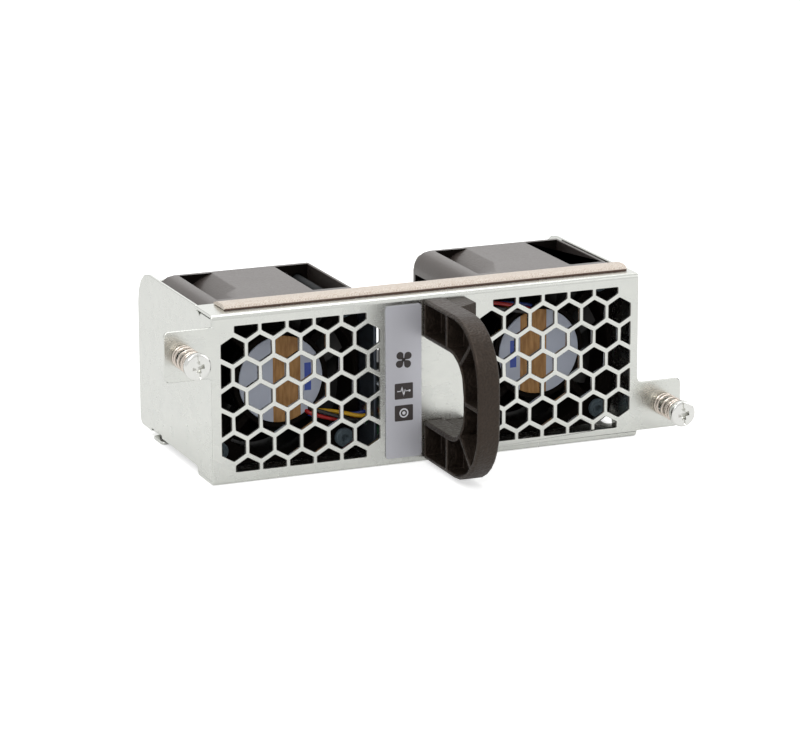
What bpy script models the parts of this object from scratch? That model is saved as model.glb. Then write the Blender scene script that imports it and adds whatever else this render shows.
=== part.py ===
"""Switch fan tray: a folded sheet tray with two 40 mm axial fans, a pull handle and captive screws.

Frame: metres, +Z up, +Y into the switch, +X to the right seen from outside.
The origin is the centre of the faceplate's front face.
"""
import math

import bmesh
import bpy
from mathutils import Matrix, Vector

MM = 0.001

# Sheet metal tray
TRAY_HEIGHT = 41.2 * MM
SHEET = 0.8 * MM
TOP_BEND = 1.2 * MM
BOTTOM_BEND = 1.5 * MM
TOP_LIP_DEPTH = 11.6 * MM
WALL_LENGTH = 54.1 * MM
WALL_STEP_IN = 0.2 * MM
WALL_TOP_DROP = 0.1 * MM
WALL_REAR_RADIUS = 8.5 * MM
WALL_FOOT_RADIUS = 2.0 * MM
WALL_RAISE = 1.8 * MM
WALL_STEP_RADIUS = 1.3 * MM
WALL_STEP_FILLET = 0.8 * MM
CORNER_DEPTH = 12.2 * MM
FLOOR_INSET = 2.8 * MM
FLOOR_LENGTH = 53.0 * MM
TAB_START = 38.4 * MM
TAB_LENGTH = 6.8 * MM
TAB_CLEARANCE = 0.4 * MM
TAB_CORNER = 1.0 * MM
RELIEF_DROP = 3.0 * MM
RELIEF_DEPTH = 0.5 * MM
NOTCH_START = 8.2 * MM
NOTCH_WIDTH = 2.0 * MM
NOTCH_DEPTH = 1.0 * MM
WALL_CORNER = 0.3 * MM

# Ears that carry the captive screws
EAR_REACH = 11.8 * MM
EAR_HEIGHT = 12.2 * MM
EAR_LEFT_DROP = 8.9 * MM
EAR_RIGHT_RISE = 7.7 * MM
EAR_CORNER = 1.3 * MM
EAR_HOLE = 1.9 * MM
EAR_HOLE_OUT = 7.2 * MM

# Honeycomb grilles
HEX_PITCH = 6.8 * MM
HEX_OPENING = 5.7 * MM
GRILLE_SHIFT = 0.8 * MM
GRILLE_EDGE = 0.15 * MM
GRILLE_MARGIN = 2.95 * MM
ROW_SHARE = 0.3

# Indicator windows and label
LABEL_X = -7.0 * MM
LABEL_WIDTH = 9.2 * MM
LABEL_MARGIN = 1.9 * MM
LABEL_CORNER = 0.8 * MM
LABEL_SHEET = 0.3 * MM
WINDOW_Z = (-2.3 * MM, -7.7 * MM)
WINDOW_WIDTH = 4.2 * MM
WINDOW_HEIGHT = 3.4 * MM

# Pull handle
HANDLE_LEFT_X = -1.9 * MM
HANDLE_BAND = 5.6 * MM
HANDLE_REACH = 32.9 * MM
HANDLE_MARGIN = 0.9 * MM
HANDLE_GRIP = 9.3 * MM
HANDLE_ARM = 9.6 * MM
HANDLE_OUTER_RADIUS = 15.0 * MM
HANDLE_INNER_RADIUS = 8.0 * MM
HANDLE_RIM = 1.1 * MM
HANDLE_RIB = 1.0 * MM
HANDLE_WEB = 1.3 * MM
HANDLE_EDGE = 0.45 * MM
FOOT_WIDTH = 11.2 * MM
FOOT_THICKNESS = 6.0 * MM
FOOT_GUSSET = 9.2 * MM
HANDLE_RIB_Y = -14.0 * MM
CORNER_RIB_SHARE = 0.62
HANDLE_SCREW_R = 1.3 * MM
HANDLE_SCREW_DEPTH = 5.0 * MM
SCREW_HEAD_R = 2.6 * MM
SCREW_HEAD_H = 1.5 * MM

# Gasket on the top lip
GASKET_LEFT_GAP = 4.5 * MM
GASKET_RIGHT_GAP = 1.5 * MM
GASKET_FRONT = 3.6 * MM
GASKET_DEPTH = 7.6 * MM
GASKET_CROWN = 0.9 * MM
GASKET_CLOTH = 0.2 * MM

# Fans
FAN_Z = 0.5 * MM
FAN_HEADROOM = 1.2 * MM
FAN_INNER_PLAY = 0.5 * MM
FAN_OUTER_PLAY = 1.3 * MM
FAN_DEPTH = 31.2 * MM
FAN_FRONT = 11.9 * MM
FRONT_FLANGE = 3.5 * MM
REAR_FLANGE = 1.5 * MM
ROUND_CORNER = 4.5 * MM
TIGHT_CORNER = 1.0 * MM
BORE_WALL = 1.1 * MM
BARREL_BULGE = 0.9 * MM
BELL_BULGE = 2.2 * MM
BELL_DEPTH = 12.6 * MM
CROWN_OUT = 10.2 * MM
POST_WIDTH = 5.2 * MM
THIN_WALL = 1.3 * MM
PIN_INSET = 4.0 * MM
MOTOR_R = 12.0 * MM
MOTOR_RIM = 1.1 * MM
MOTOR_PROUD = 0.3 * MM
MOTOR_BASE = 2.2 * MM
BASE_RIM_REAR = 0.5 * MM
STRUT_WIDTH = 1.8 * MM
STRUT_DEPTH = 2.5 * MM
STRUT_COUNT = 4
TUBE_R = 3.6 * MM
TUBE_BORE = 2.8 * MM
TUBE_LENGTH = 17.5 * MM
LABEL_INSET = 1.4 * MM
BOARD_SHEET = 1.0 * MM

# Impeller
HUB_START = 2.9 * MM
HUB_LENGTH = 22.5 * MM
HUB_WALL = 0.7 * MM
HUB_NOSE = 1.8 * MM
HUB_CAP = 2.0 * MM
HUB_BOSS_R = 3.0 * MM
HUB_BOSS = 4.5 * MM
BLADE_COUNT = 7
BLADE_START = 1.6 * MM
BLADE_CHORD = 18.0 * MM
BLADE_SWEEP = math.radians(52.0)
BLADE_LEAN = math.radians(9.0)
BLADE_CAMBER = math.radians(7.0)
BLADE_TAPER = 0.22
BLADE_THICKNESS = 0.9 * MM
BLADE_RUN = 0.6 * MM
SHAFT_R = 1.0 * MM
SHAFT_START = 0.5 * MM
CLIP_GROOVE = 0.6 * MM
CLIP_PLAY = 0.1 * MM
YOKE_R = 10.9 * MM
YOKE_WALL = 1.9 * MM
YOKE_START = 1.2 * MM
YOKE_REACH = 4.0 * MM
YOKE_LIP = 1.0 * MM
BEARING_WIDTH = 2.5 * MM
BEARING_INSET = 0.6 * MM
STATOR_GAP = 0.4 * MM
STATOR_POLES = 4
STATOR_STACK = 8.0 * MM
STATOR_START = 2.6 * MM
POLE_SPAN = 0.8
POLE_SHOE = 1.0 * MM
POLE_HALF = 1.3 * MM
CORE_WALL = 1.4 * MM
COIL_DEPTH = 1.8 * MM
COIL_WIDTH = 5.0 * MM
COIL_OVERHANG = 1.0 * MM

# Rubber pins that hold each fan to the rear frame
PIN_HEAD_R = 2.35 * MM
PIN_HEAD = 1.5 * MM
PIN_SHANK_R = 1.5 * MM
PIN_BARB_R = 2.5 * MM
PIN_BARB_EDGE = 0.5 * MM
PIN_BARB = 1.8 * MM
PIN_TAIL = 4.0 * MM

# Brackets and board
BRACKET_HALF_WIDTH = 13.2 * MM
BRACKET_DROP = 2.1 * MM
BRACKET_LOW_DROP = 10.4 * MM
BRACKET_START = 3.2 * MM
BRACKET_SHOULDER = 13.5 * MM
BRACKET_SLOPE = 8.0 * MM
BRACKET_BEND = 1.0 * MM
BRACKET_RIVETS = (8.0 * MM, 38.0 * MM)
LEAD_HOLE_R = 2.4 * MM
FRAME_SIDE_GAP = 0.5 * MM
FRAME_DROP = 1.0 * MM
FRAME_CORNER = 2.0 * MM
FRAME_SLOT_HALF = 11.6 * MM
FRAME_SLOT_HEIGHT = 27.5 * MM
FRAME_BRIDGE = 3.0 * MM
FRAME_FLANGE = 6.0 * MM
RIVET_R = 1.2 * MM
RIVET_HEAD_R = 2.2 * MM
RIVET_HEAD = 0.8 * MM
BOARD_HALF_WIDTH = 10.5 * MM
BOARD_START = 11.0 * MM
BOARD_END = 45.5 * MM
BOARD_LIFT = 3.0 * MM
CHIP_PITCH = 3.5 * MM
CHIP_WIDTH = 2.0 * MM
CHIP_START = 35.4 * MM
CHIP_LENGTH = 2.4 * MM
CHIP_HEIGHT = 1.1 * MM
SUPPORT_R = 1.5 * MM
SUPPORT_FRONT = 3.0 * MM
SUPPORT_REAR = 16.0 * MM
SUPPORT_COLLAR = 0.6 * MM
SUPPORT_HEAD = 1.6 * MM
LEAD_R = 1.2 * MM
LEAD_EXIT = math.radians(34.0)
LEAD_EXIT_DEPTH = 1.5 * MM
LEAD_OUT_Y = 9.6 * MM
LEAD_PIN_GAP = 5.4 * MM
LEAD_BEND = 3.6 * MM
LEAD_LOOP = 0.4 * MM
LEAD_INSET = 1.9 * MM
LEAD_TURN = 1.4 * MM
LEAD_DROP_SHARE = 0.08
HEADER_WIDTH = 6.4 * MM
HEADER_LENGTH = 6.5 * MM
HEADER_HEIGHT = 4.4 * MM
HEADER_WALL = 0.7 * MM
HEADER_BACK = 1.6 * MM
HEADER_X = 7.2 * MM
HEADER_START = 28.0 * MM
PLUG_LENGTH = 7.5 * MM
LAMP_OFFSET = 1.6 * MM
LAMP_PITCH = 3.0 * MM
LAMP_WIDTH = 1.8 * MM
LAMP_LENGTH = 1.6 * MM
LAMP_HEIGHT = 0.8 * MM
GUIDE_LEG = 2.0 * MM
GUIDE_BRIDGE = 1.4 * MM
GUIDE_BRIDGE_BACK = 2.2 * MM
CONNECTOR_HALF_WIDTH = 8.0 * MM
CONNECTOR_START = 39.5 * MM
CONNECTOR_END = 53.6 * MM
CONNECTOR_HEIGHT = 8.6 * MM
CONNECTOR_CORNER = 0.8 * MM
CONNECTOR_WALL = 1.4 * MM
CONNECTOR_DEPTH = 6.5 * MM
CONTACT_COUNT = 5
CONTACT_PITCH = 1.6 * MM
CONTACT_WIDTH = 0.6 * MM

# Captive screws
CAPTIVE_STANDOFF = 11.0 * MM
CAPTIVE_HEAD_R = 3.2 * MM
CAPTIVE_HEAD = 1.8 * MM
CAPTIVE_EDGE = 0.35 * MM
CAPTIVE_BARREL_R = 2.2 * MM
CAPTIVE_SHANK_R = 1.5 * MM
CAPTIVE_NECK_R = 1.1 * MM
CAPTIVE_TIP = 4.2 * MM
CAPTIVE_TRAVEL = 4.0 * MM
RECESS_SLOT = 0.9 * MM
RECESS_LENGTH = 2.6 * MM
RECESS_DEPTH = 1.1 * MM
RING_R = 2.7 * MM
RING_SHEET = 0.5 * MM
RING_GAP = 1.5 * MM
SPRING_R = 2.8 * MM
SPRING_WIRE = 0.35 * MM
SPRING_TURNS = 5
CLOSED_TURNS = 0.8
CLOSED_SHARE = 0.12

# Clearances
SEAT = 0.3 * MM
THIN_SEAT = 0.15 * MM
RUN = 0.3 * MM
OVER = 1.0 * MM

# Derived places
HALF_H = TRAY_HEIGHT / 2
FLOOR_TOP = -HALF_H + SHEET
FAN_SIZE = TRAY_HEIGHT - FAN_HEADROOM
HALF_FAN = FAN_SIZE / 2
FAN_X = BRACKET_HALF_WIDTH + FAN_INNER_PLAY + HALF_FAN
HALF_W = FAN_X + HALF_FAN + FAN_OUTER_PLAY
WALL_OUT = HALF_W - WALL_STEP_IN
EAR_LEFT_Z = HALF_H - EAR_LEFT_DROP
EAR_RIGHT_Z = -HALF_H + EAR_RIGHT_RISE
GRILLE_X = FAN_X - GRILLE_SHIFT
GRILLE_HALF_WIDTH = HALF_FAN - GRILLE_EDGE
GRILLE_HALF_HEIGHT = HALF_H - GRILLE_MARGIN
FULL_COLUMNS = round(2 * GRILLE_HALF_WIDTH / HEX_PITCH)
GASKET_START = -HALF_W + GASKET_LEFT_GAP
GASKET_END = HALF_W - GASKET_RIGHT_GAP
HANDLE_HEIGHT = TRAY_HEIGHT - 2 * HANDLE_MARGIN
HANDLE_SCREW_Z = (HANDLE_HEIGHT - HANDLE_ARM) / 2
FAN_REAR = FAN_FRONT + FAN_DEPTH
BORE_R = HALF_FAN - BORE_WALL
BARREL_R = HALF_FAN + BARREL_BULGE
PIN_PITCH = FAN_SIZE - 2 * PIN_INSET
LEAD_OUT_Z = PIN_PITCH / 2 - LEAD_PIN_GAP
BLADE_TIP_R = BORE_R - BLADE_RUN
HUB_LABEL_R = MOTOR_R - LABEL_INSET
PLATE_BOTTOM = FLOOR_TOP + SEAT
PLATE_TOP = PLATE_BOTTOM + SHEET
BOARD_BOTTOM = PLATE_TOP + BOARD_LIFT
BOARD_TOP = BOARD_BOTTOM + BOARD_SHEET
FRAME_FRONT = FAN_REAR + SEAT
FRAME_REAR = FRAME_FRONT + SHEET
MOTOR_FRONT = FAN_FRONT - MOTOR_PROUD
BASE_REAR = MOTOR_FRONT + MOTOR_BASE
MAGNET_R = YOKE_R - YOKE_WALL
STATOR_R = MAGNET_R - STATOR_GAP
BEARING_R = TUBE_BORE - SEAT
BRACKET_TOP = HALF_H - BRACKET_DROP
BRACKET_LOW_TOP = HALF_H - BRACKET_LOW_DROP
FRAME_SLOT_TOP = PLATE_BOTTOM + FRAME_SLOT_HEIGHT
SIDES = {"left": -1, "right": 1}

COLOURS = {
    "zinc": ((0.78, 0.79, 0.76), 0.38, 0.55),
    "dark_zinc": ((0.20, 0.22, 0.25), 0.45, 0.6),
    "black_nylon": ((0.035, 0.032, 0.032), 0.5, 0.0),
    "black_fan": ((0.06, 0.055, 0.055), 0.55, 0.0),
    "cloth": ((0.80, 0.68, 0.58), 0.9, 0.0),
    "foam": ((0.08, 0.06, 0.045), 0.95, 0.0),
    "label": ((0.55, 0.55, 0.60), 0.45, 0.0),
    "rubber": ((0.10, 0.13, 0.15), 0.7, 0.0),
    "steel": ((0.75, 0.75, 0.74), 0.25, 1.0),
    "spring": ((0.72, 0.68, 0.62), 0.25, 1.0),
    "board": ((0.03, 0.20, 0.08), 0.5, 0.0),
    "connector": ((0.05, 0.05, 0.06), 0.5, 0.0),
    "ivory": ((0.80, 0.76, 0.66), 0.5, 0.0),
    "lamination": ((0.30, 0.22, 0.18), 0.5, 0.3),
    "magnet": ((0.12, 0.12, 0.12), 0.5, 0.4),
    "acrylic": ((0.85, 0.87, 0.88), 0.15, 0.0),
    "wire": ((0.50, 0.05, 0.04), 0.5, 0.0),
}


def material(name):
    """The Principled material of one finish."""
    found = bpy.data.materials.get(name)
    if found:
        return found
    colour, roughness, metallic = COLOURS[name]
    made = bpy.data.materials.new(name)
    made.use_nodes = True
    shader = made.node_tree.nodes["Principled BSDF"]
    shader.inputs["Base Color"].default_value = (*colour, 1.0)
    shader.inputs["Roughness"].default_value = roughness
    shader.inputs["Metallic"].default_value = metallic
    return made


def add_object(name, bm, finish=None):
    """Make an object of a bmesh, with its faces pointing out."""
    bmesh.ops.remove_doubles(bm, verts=bm.verts, dist=1e-7)
    bmesh.ops.recalc_face_normals(bm, faces=bm.faces)
    mesh = bpy.data.meshes.new(name)
    bm.to_mesh(mesh)
    bm.free()
    obj = bpy.data.objects.new(name, mesh)
    bpy.context.scene.collection.objects.link(obj)
    if finish:
        mesh.materials.append(material(finish))
    return obj


def smooth(obj, angle=35.0):
    """Shade round faces smooth and keep the hard edges sharp."""
    obj.data.shade_smooth()
    obj.data.set_sharp_from_angle(angle=math.radians(angle))
    return obj


def box_outline(u0, u1, v0, v1):
    """A rectangle's corners."""
    return [(u0, v0), (u1, v0), (u1, v1), (u0, v1)]


def circle(u, v, radius, count=16, turn=0.0):
    """Points round a circle."""
    step = 2 * math.pi / count
    return [(u + radius * math.cos(turn + i * step), v + radius * math.sin(turn + i * step))
            for i in range(count)]


def arc(u, v, radius, start, end, steps):
    """Points along an arc, angles in degrees."""
    angles = [math.radians(start + (end - start) * i / steps) for i in range(steps + 1)]
    return [(u + radius * math.cos(a), v + radius * math.sin(a)) for a in angles]


def rounded(corners, steps=4):
    """Round an outline's corners: each corner is (u, v) or (u, v, radius)."""
    outline = []
    for i, corner in enumerate(corners):
        here = Vector(corner[:2])
        radius = corner[2] if len(corner) > 2 else 0.0
        if radius <= 0.0:
            outline.append(tuple(here))
            continue
        before = Vector(corners[i - 1][:2]) - here
        after = Vector(corners[(i + 1) % len(corners)][:2]) - here
        half = before.angle(after) / 2
        reach = min(radius / math.tan(half), before.length * 0.49, after.length * 0.49)
        radius = reach * math.tan(half)
        start = here + before.normalized() * reach
        end = here + after.normalized() * reach
        bisector = (before.normalized() + after.normalized()).normalized()
        centre = here + bisector * (radius / math.sin(half))
        first = math.atan2(start.y - centre.y, start.x - centre.x)
        turn = math.atan2(end.y - centre.y, end.x - centre.x) - first
        turn = (turn + math.pi) % (2 * math.pi) - math.pi
        for k in range(steps + 1):
            angle = first + turn * k / steps
            outline.append((centre.x + radius * math.cos(angle), centre.y + radius * math.sin(angle)))
    return outline


def clipped(outline, axis, limit, keep):
    """Cut an outline off at a limit along one axis: keep is 1 for below it and -1 for above it."""
    result = []
    for i, here in enumerate(outline):
        last = outline[i - 1]
        inside = (limit - here[axis]) * keep >= 0
        was_inside = (limit - last[axis]) * keep >= 0
        if inside != was_inside:
            share = (limit - last[axis]) / (here[axis] - last[axis])
            result.append((last[0] + share * (here[0] - last[0]), last[1] + share * (here[1] - last[1])))
        if inside:
            result.append(here)
    return result


PLACE = {
    "X": lambda u, v, w: (w, u, v),
    "Y": lambda u, v, w: (u, w, v),
    "Z": lambda u, v, w: (u, v, w),
}


def prism_into(bm, outline, axis, low, high):
    """Extrude an outline along an axis: X takes (y, z), Y takes (x, z) and Z takes (x, y)."""
    place = PLACE[axis]
    face = bm.faces.new([bm.verts.new(place(u, v, low)) for u, v in outline])
    grown = bmesh.ops.extrude_face_region(bm, geom=[face])
    verts = [g for g in grown["geom"] if isinstance(g, bmesh.types.BMVert)]
    bmesh.ops.translate(bm, verts=verts, vec=Vector(place(0.0, 0.0, high - low)))


def prism(name, outline, axis, low, high, finish=None):
    """One extruded solid."""
    bm = bmesh.new()
    prism_into(bm, outline, axis, low, high)
    return add_object(name, bm, finish)


def prisms(name, parts, finish=None):
    """Several extruded solids in one object: each part is (outline, axis, low, high)."""
    bm = bmesh.new()
    for part in parts:
        prism_into(bm, *part)
    return add_object(name, bm, finish)


def turned_into(bm, profile, x, z, segments, closed):
    """Spin a profile of (radius, y) points round the Y axis through x, z."""
    verts = [bm.verts.new((x + r, y, z)) for r, y in profile]
    edges = [bm.edges.new(pair) for pair in zip(verts, verts[1:])]
    if closed:
        edges.append(bm.edges.new((verts[-1], verts[0])))
    bmesh.ops.spin(bm, geom=verts + edges, cent=(x, 0, z), axis=(0, 1, 0), dvec=(0, 0, 0),
                   angle=2 * math.pi, steps=segments, use_merge=True)


def turned(name, profile, x, z, finish=None, segments=24, closed=True):
    """A turned solid about an axis along Y: closed for a ring, open from axis to axis for a solid."""
    bm = bmesh.new()
    turned_into(bm, profile, x, z, segments, closed)
    return smooth(add_object(name, bm, finish))


def boolean(target, tool, operation="DIFFERENCE"):
    """Cut or join with a tool object and drop the tool."""
    modifier = target.modifiers.new("cut", "BOOLEAN")
    modifier.operation = operation
    modifier.solver = "EXACT"
    modifier.object = tool
    graph = bpy.context.evaluated_depsgraph_get()
    result = bpy.data.meshes.new_from_object(target.evaluated_get(graph))
    target.modifiers.clear()
    old = target.data
    target.data = result
    bpy.data.meshes.remove(old)
    bpy.data.objects.remove(tool)
    return target


def join(target, *tools):
    """Union of overlapping solids."""
    for tool in tools:
        boolean(target, tool, "UNION")
    return target


def shifted(outline, du, dv):
    """Move an outline."""
    return [(u + du, v + dv) for u, v in outline]


def half_turned(outline):
    """Turn an outline half a turn about the origin."""
    return [(-u, -v) for u, v in outline]


def hexagon(x, z):
    """A hexagon with upright flats, as the grille is punched."""
    return circle(x, z, HEX_OPENING / math.sqrt(3), 6, math.pi / 6)


def grille_cells(centre_x):
    """Every opening of one honeycomb grille, trimmed to its rectangle."""
    cells = []
    row_pitch = HEX_PITCH * math.sqrt(3) / 2
    outer_row = int(GRILLE_HALF_HEIGHT / row_pitch + ROW_SHARE)
    for row in range(-outer_row, outer_row + 1):
        if row % 2 == 0:
            count = FULL_COLUMNS
        elif abs(row) == outer_row:
            count = FULL_COLUMNS - 1
        else:
            count = FULL_COLUMNS + 1
        for column in range(count):
            cell = hexagon((column - (count - 1) / 2) * HEX_PITCH, row * row_pitch)
            cell = clipped(cell, 0, GRILLE_HALF_WIDTH, 1)
            cell = clipped(cell, 0, -GRILLE_HALF_WIDTH, -1)
            cell = clipped(cell, 1, GRILLE_HALF_HEIGHT, 1)
            cell = clipped(cell, 1, -GRILLE_HALF_HEIGHT, -1)
            cells.append(shifted(cell, centre_x, 0.0))
    return cells


def fold_section():
    """The tray's section from lip to floor, (y, z): one sheet with two bends."""
    lip_in = TOP_BEND - SHEET
    floor_in = BOTTOM_BEND - SHEET
    top_z = HALF_H - TOP_BEND
    low_z = -HALF_H + BOTTOM_BEND
    return ([(FLOOR_LENGTH, -HALF_H)]
            + arc(BOTTOM_BEND, low_z, BOTTOM_BEND, 270, 180, 4)
            + arc(TOP_BEND, top_z, TOP_BEND, 180, 90, 4)
            + [(TOP_LIP_DEPTH, HALF_H), (TOP_LIP_DEPTH, HALF_H - SHEET)]
            + arc(TOP_BEND, top_z, lip_in, 90, 180, 3)
            + arc(BOTTOM_BEND, low_z, floor_in, 180, 270, 3)
            + [(FLOOR_LENGTH, FLOOR_TOP)])


def wall_outline():
    """A side wall's outline, (y, z), with the notch and relief under the lip and a stepped foot."""
    mid = SHEET / 2
    foot = -HALF_H + WALL_TOP_DROP
    raised = -HALF_H + WALL_RAISE
    top = HALF_H - WALL_TOP_DROP
    under_lip = HALF_H - SHEET - SEAT
    relief = HALF_H - RELIEF_DROP
    rear = WALL_LENGTH
    start = arc(BOTTOM_BEND, -HALF_H + BOTTOM_BEND, BOTTOM_BEND - mid, 180, 270, 3)
    corners = [(*p, 0.0) for p in start]
    corners += [
        (BOTTOM_BEND + OVER, foot, 0.0),
        (CORNER_DEPTH, foot, WALL_STEP_RADIUS),
        (CORNER_DEPTH, raised, WALL_STEP_FILLET),
        (rear, raised, WALL_FOOT_RADIUS),
        (rear, top, WALL_REAR_RADIUS),
        (TOP_LIP_DEPTH + SEAT, top, WALL_CORNER),
        (TOP_LIP_DEPTH + SEAT, under_lip, WALL_CORNER),
        (NOTCH_START + NOTCH_WIDTH, under_lip, 0.0),
        (NOTCH_START + NOTCH_WIDTH / 2, under_lip - NOTCH_DEPTH, WALL_CORNER),
        (NOTCH_START, under_lip, 0.0),
        (SHEET + RELIEF_DEPTH, under_lip, WALL_CORNER),
        (SHEET + RELIEF_DEPTH, relief, 0.0),
        (mid, relief, 0.0),
    ]
    return rounded(corners, 4)


def ear_outline(side, centre_z):
    """One ear's outline, (x, z), with a fillet where it leaves the faceplate."""
    low, high = centre_z - EAR_HEIGHT / 2, centre_z + EAR_HEIGHT / 2
    tip = HALF_W + EAR_REACH
    inner = HALF_W - OVER
    fillet = EAR_CORNER
    if side < 0:
        corners = [(-inner, high), (-tip, high, EAR_CORNER), (-tip, low, EAR_CORNER),
                   (-HALF_W, low, fillet), (-HALF_W, low - 2 * fillet), (-inner, low - 2 * fillet)]
    else:
        corners = [(inner, low), (tip, low, EAR_CORNER), (tip, high, EAR_CORNER),
                   (HALF_W, high, fillet), (HALF_W, high + 2 * fillet), (inner, high + 2 * fillet)]
    return rounded(corners)


def floor_trim(side):
    """What is cut off the floor's edge, (x, y), so that only the corner and the lock tab reach the wall."""
    edge = side * (HALF_W - FLOOR_INSET)
    out = side * (HALF_W + OVER)
    tab_out = side * (WALL_OUT - WALL_STEP_IN)
    front = CORNER_DEPTH - OVER
    tab_end = TAB_START + TAB_LENGTH
    return rounded([
        (out, front), (edge, front, TAB_CORNER), (edge, TAB_START, TAB_CORNER),
        (tab_out, TAB_START, TAB_CORNER), (tab_out, tab_end, TAB_CORNER), (edge, tab_end, TAB_CORNER),
        (edge, FLOOR_LENGTH + OVER),
        (out, FLOOR_LENGTH + OVER),
    ], 3)


def handle_screw_x():
    """The handle screws stand in the solid half of the feet, clear of the pockets."""
    return HANDLE_LEFT_X + FOOT_WIDTH / 2 + HANDLE_RIB


def captive_places():
    """Side, x and z of both captive screws."""
    out = HALF_W + EAR_HOLE_OUT
    return [("left", -out, EAR_LEFT_Z), ("right", out, EAR_RIGHT_Z)]


def rivet_places():
    """Name, x and y of each floor rivet, with what it holds."""
    frame_y = FRAME_REAR + FRAME_FLANGE / 2
    return [
        ("bracket_rivet_front", 0.0, BRACKET_RIVETS[0]),
        ("bracket_rivet_rear", 0.0, BRACKET_RIVETS[1]),
        ("frame_rivet_left", -FAN_X, frame_y),
        ("frame_rivet_right", FAN_X, frame_y),
    ]


def build_tray_body():
    """The folded sheet: faceplate, lip, floor, side walls and ears in one piece."""
    tray = prism("tray_body", fold_section(), "X", -HALF_W, HALF_W, "zinc")
    trims = [(floor_trim(side), "Z", -HALF_H - OVER, FLOOR_TOP + OVER) for side in (-1, 1)]
    boolean(tray, prisms("trim", trims))
    for side, centre_z in ((-1, EAR_LEFT_Z), (1, EAR_RIGHT_Z)):
        wall = sorted((side * WALL_OUT, side * (WALL_OUT - SHEET)))
        join(tray, prism("wall", wall_outline(), "X", *wall),
             prism("ear", ear_outline(side, centre_z), "Y", 0.0, SHEET))
    through = ("Y", -OVER, SHEET + OVER)
    holes = [(cell, *through) for x in (-GRILLE_X, GRILLE_X) for cell in grille_cells(x)]
    for window_z in WINDOW_Z:
        holes.append((box_outline(LABEL_X - WINDOW_WIDTH / 2, LABEL_X + WINDOW_WIDTH / 2,
                                  window_z - WINDOW_HEIGHT / 2, window_z + WINDOW_HEIGHT / 2), *through))
    for screw_z in (-HANDLE_SCREW_Z, HANDLE_SCREW_Z):
        holes.append((circle(handle_screw_x(), screw_z, HANDLE_SCREW_R + RUN, 12), *through))
    for _, x, z in captive_places():
        holes.append((circle(x, z, EAR_HOLE, 16), *through))
    boolean(tray, prisms("holes", holes))
    below = ("Z", -HALF_H - OVER, FLOOR_TOP + OVER)
    floor_holes = [(circle(x, y, RIVET_R + RUN, 12), *below) for _, x, y in rivet_places()]
    boolean(tray, prisms("floor_holes", floor_holes))
    raised = -HALF_H + WALL_RAISE
    notch = box_outline(TAB_START - TAB_CLEARANCE, TAB_START + TAB_LENGTH + TAB_CLEARANCE,
                        raised - OVER / 2, raised + SHEET)
    boolean(tray, prisms("notches", [(notch, "X", -HALF_W, -WALL_OUT + SHEET + OVER),
                                     (notch, "X", WALL_OUT - SHEET - OVER, HALF_W)]))
    for y, facing, patch in mount_patches():
        own_face(tray, y, facing, patch)
    return smooth(tray, 25.0)


def mount_patches():
    """The bare rectangles to fasten by: their y, the way they face, and their x and z limits."""
    feet = HANDLE_HEIGHT / 2 - HANDLE_ARM - SEAT
    between = (LABEL_X + LABEL_WIDTH / 2 + SEAT, GRILLE_X - GRILLE_HALF_WIDTH - OVER, -feet, feet)
    patches = [(0.0, -1, between)]
    for side_name, x, z in captive_places():
        side = SIDES[side_name]
        ends = sorted((side * (WALL_OUT + SEAT), x - side * (RING_R + SEAT)))
        half = EAR_HEIGHT / 2 - SEAT
        patches.append((SHEET, 1, (*ends, z - half, z + half)))
    return patches


def own_face(tray, y, facing, patch):
    """Part the sheet's flat side at y along a rectangle, so that the rectangle is one face."""
    x0, x1, z0, z1 = patch
    near = SHEET / 100
    bm = bmesh.new()
    bm.from_mesh(tray.data)

    def flat_faces(inside_x, inside_z):
        """The faces at y that lie in the rectangle's x limits and, if asked, its z limits."""
        found = []
        for face in bm.faces:
            spot = face.calc_center_median()
            if abs(spot.y - y) > near or face.normal.y * facing < 0.9:
                continue
            if inside_x and not x0 < spot.x < x1:
                continue
            if inside_z and not z0 < spot.z < z1:
                continue
            found.append(face)
        return found

    cuts = (((x0, y, 0.0), (1, 0, 0), False), ((x1, y, 0.0), (1, 0, 0), False),
            ((0.0, y, z0), (0, 0, 1), True), ((0.0, y, z1), (0, 0, 1), True))
    for spot, direction, inside_x in cuts:
        faces = flat_faces(inside_x, False)
        edges = {edge for face in faces for edge in face.edges}
        verts = {vert for face in faces for vert in face.verts}
        bmesh.ops.bisect_plane(bm, geom=[*faces, *edges, *verts], dist=1e-7, plane_co=spot,
                               plane_no=direction)
    bmesh.ops.dissolve_faces(bm, faces=flat_faces(True, True))
    bm.to_mesh(tray.data)
    bm.free()


def build_label_plate():
    """The overlay beside the handle, bare, over the two indicator windows."""
    half_w, half_h, corner = LABEL_WIDTH / 2, HALF_H - LABEL_MARGIN, LABEL_CORNER
    outline = rounded([(LABEL_X - half_w, -half_h, corner), (LABEL_X + half_w, -half_h, corner),
                       (LABEL_X + half_w, half_h, corner), (LABEL_X - half_w, half_h, corner)])
    back = -THIN_SEAT
    return prism("label_plate", outline, "Y", back - LABEL_SHEET, back, "label")


def handle_outline(grow):
    """The handle's outer edge, (y, z), drawn in by grow."""
    half, radius = HANDLE_HEIGHT / 2 - grow, HANDLE_OUTER_RADIUS - grow
    reach = -HANDLE_REACH + grow
    back = -THIN_SEAT if grow == 0 else -THIN_SEAT - grow
    return rounded([(back, half), (reach, half, radius), (reach, -half, radius), (back, -half)], 8)


def handle_window(grow):
    """The finger opening, (y, z), widened by grow."""
    half, radius = HANDLE_HEIGHT / 2 - HANDLE_ARM + grow, HANDLE_INNER_RADIUS + grow
    reach = -HANDLE_REACH + HANDLE_GRIP - grow
    return rounded([(OVER, half), (reach, half, radius), (reach, -half, radius), (OVER, -half)], 6)


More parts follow.
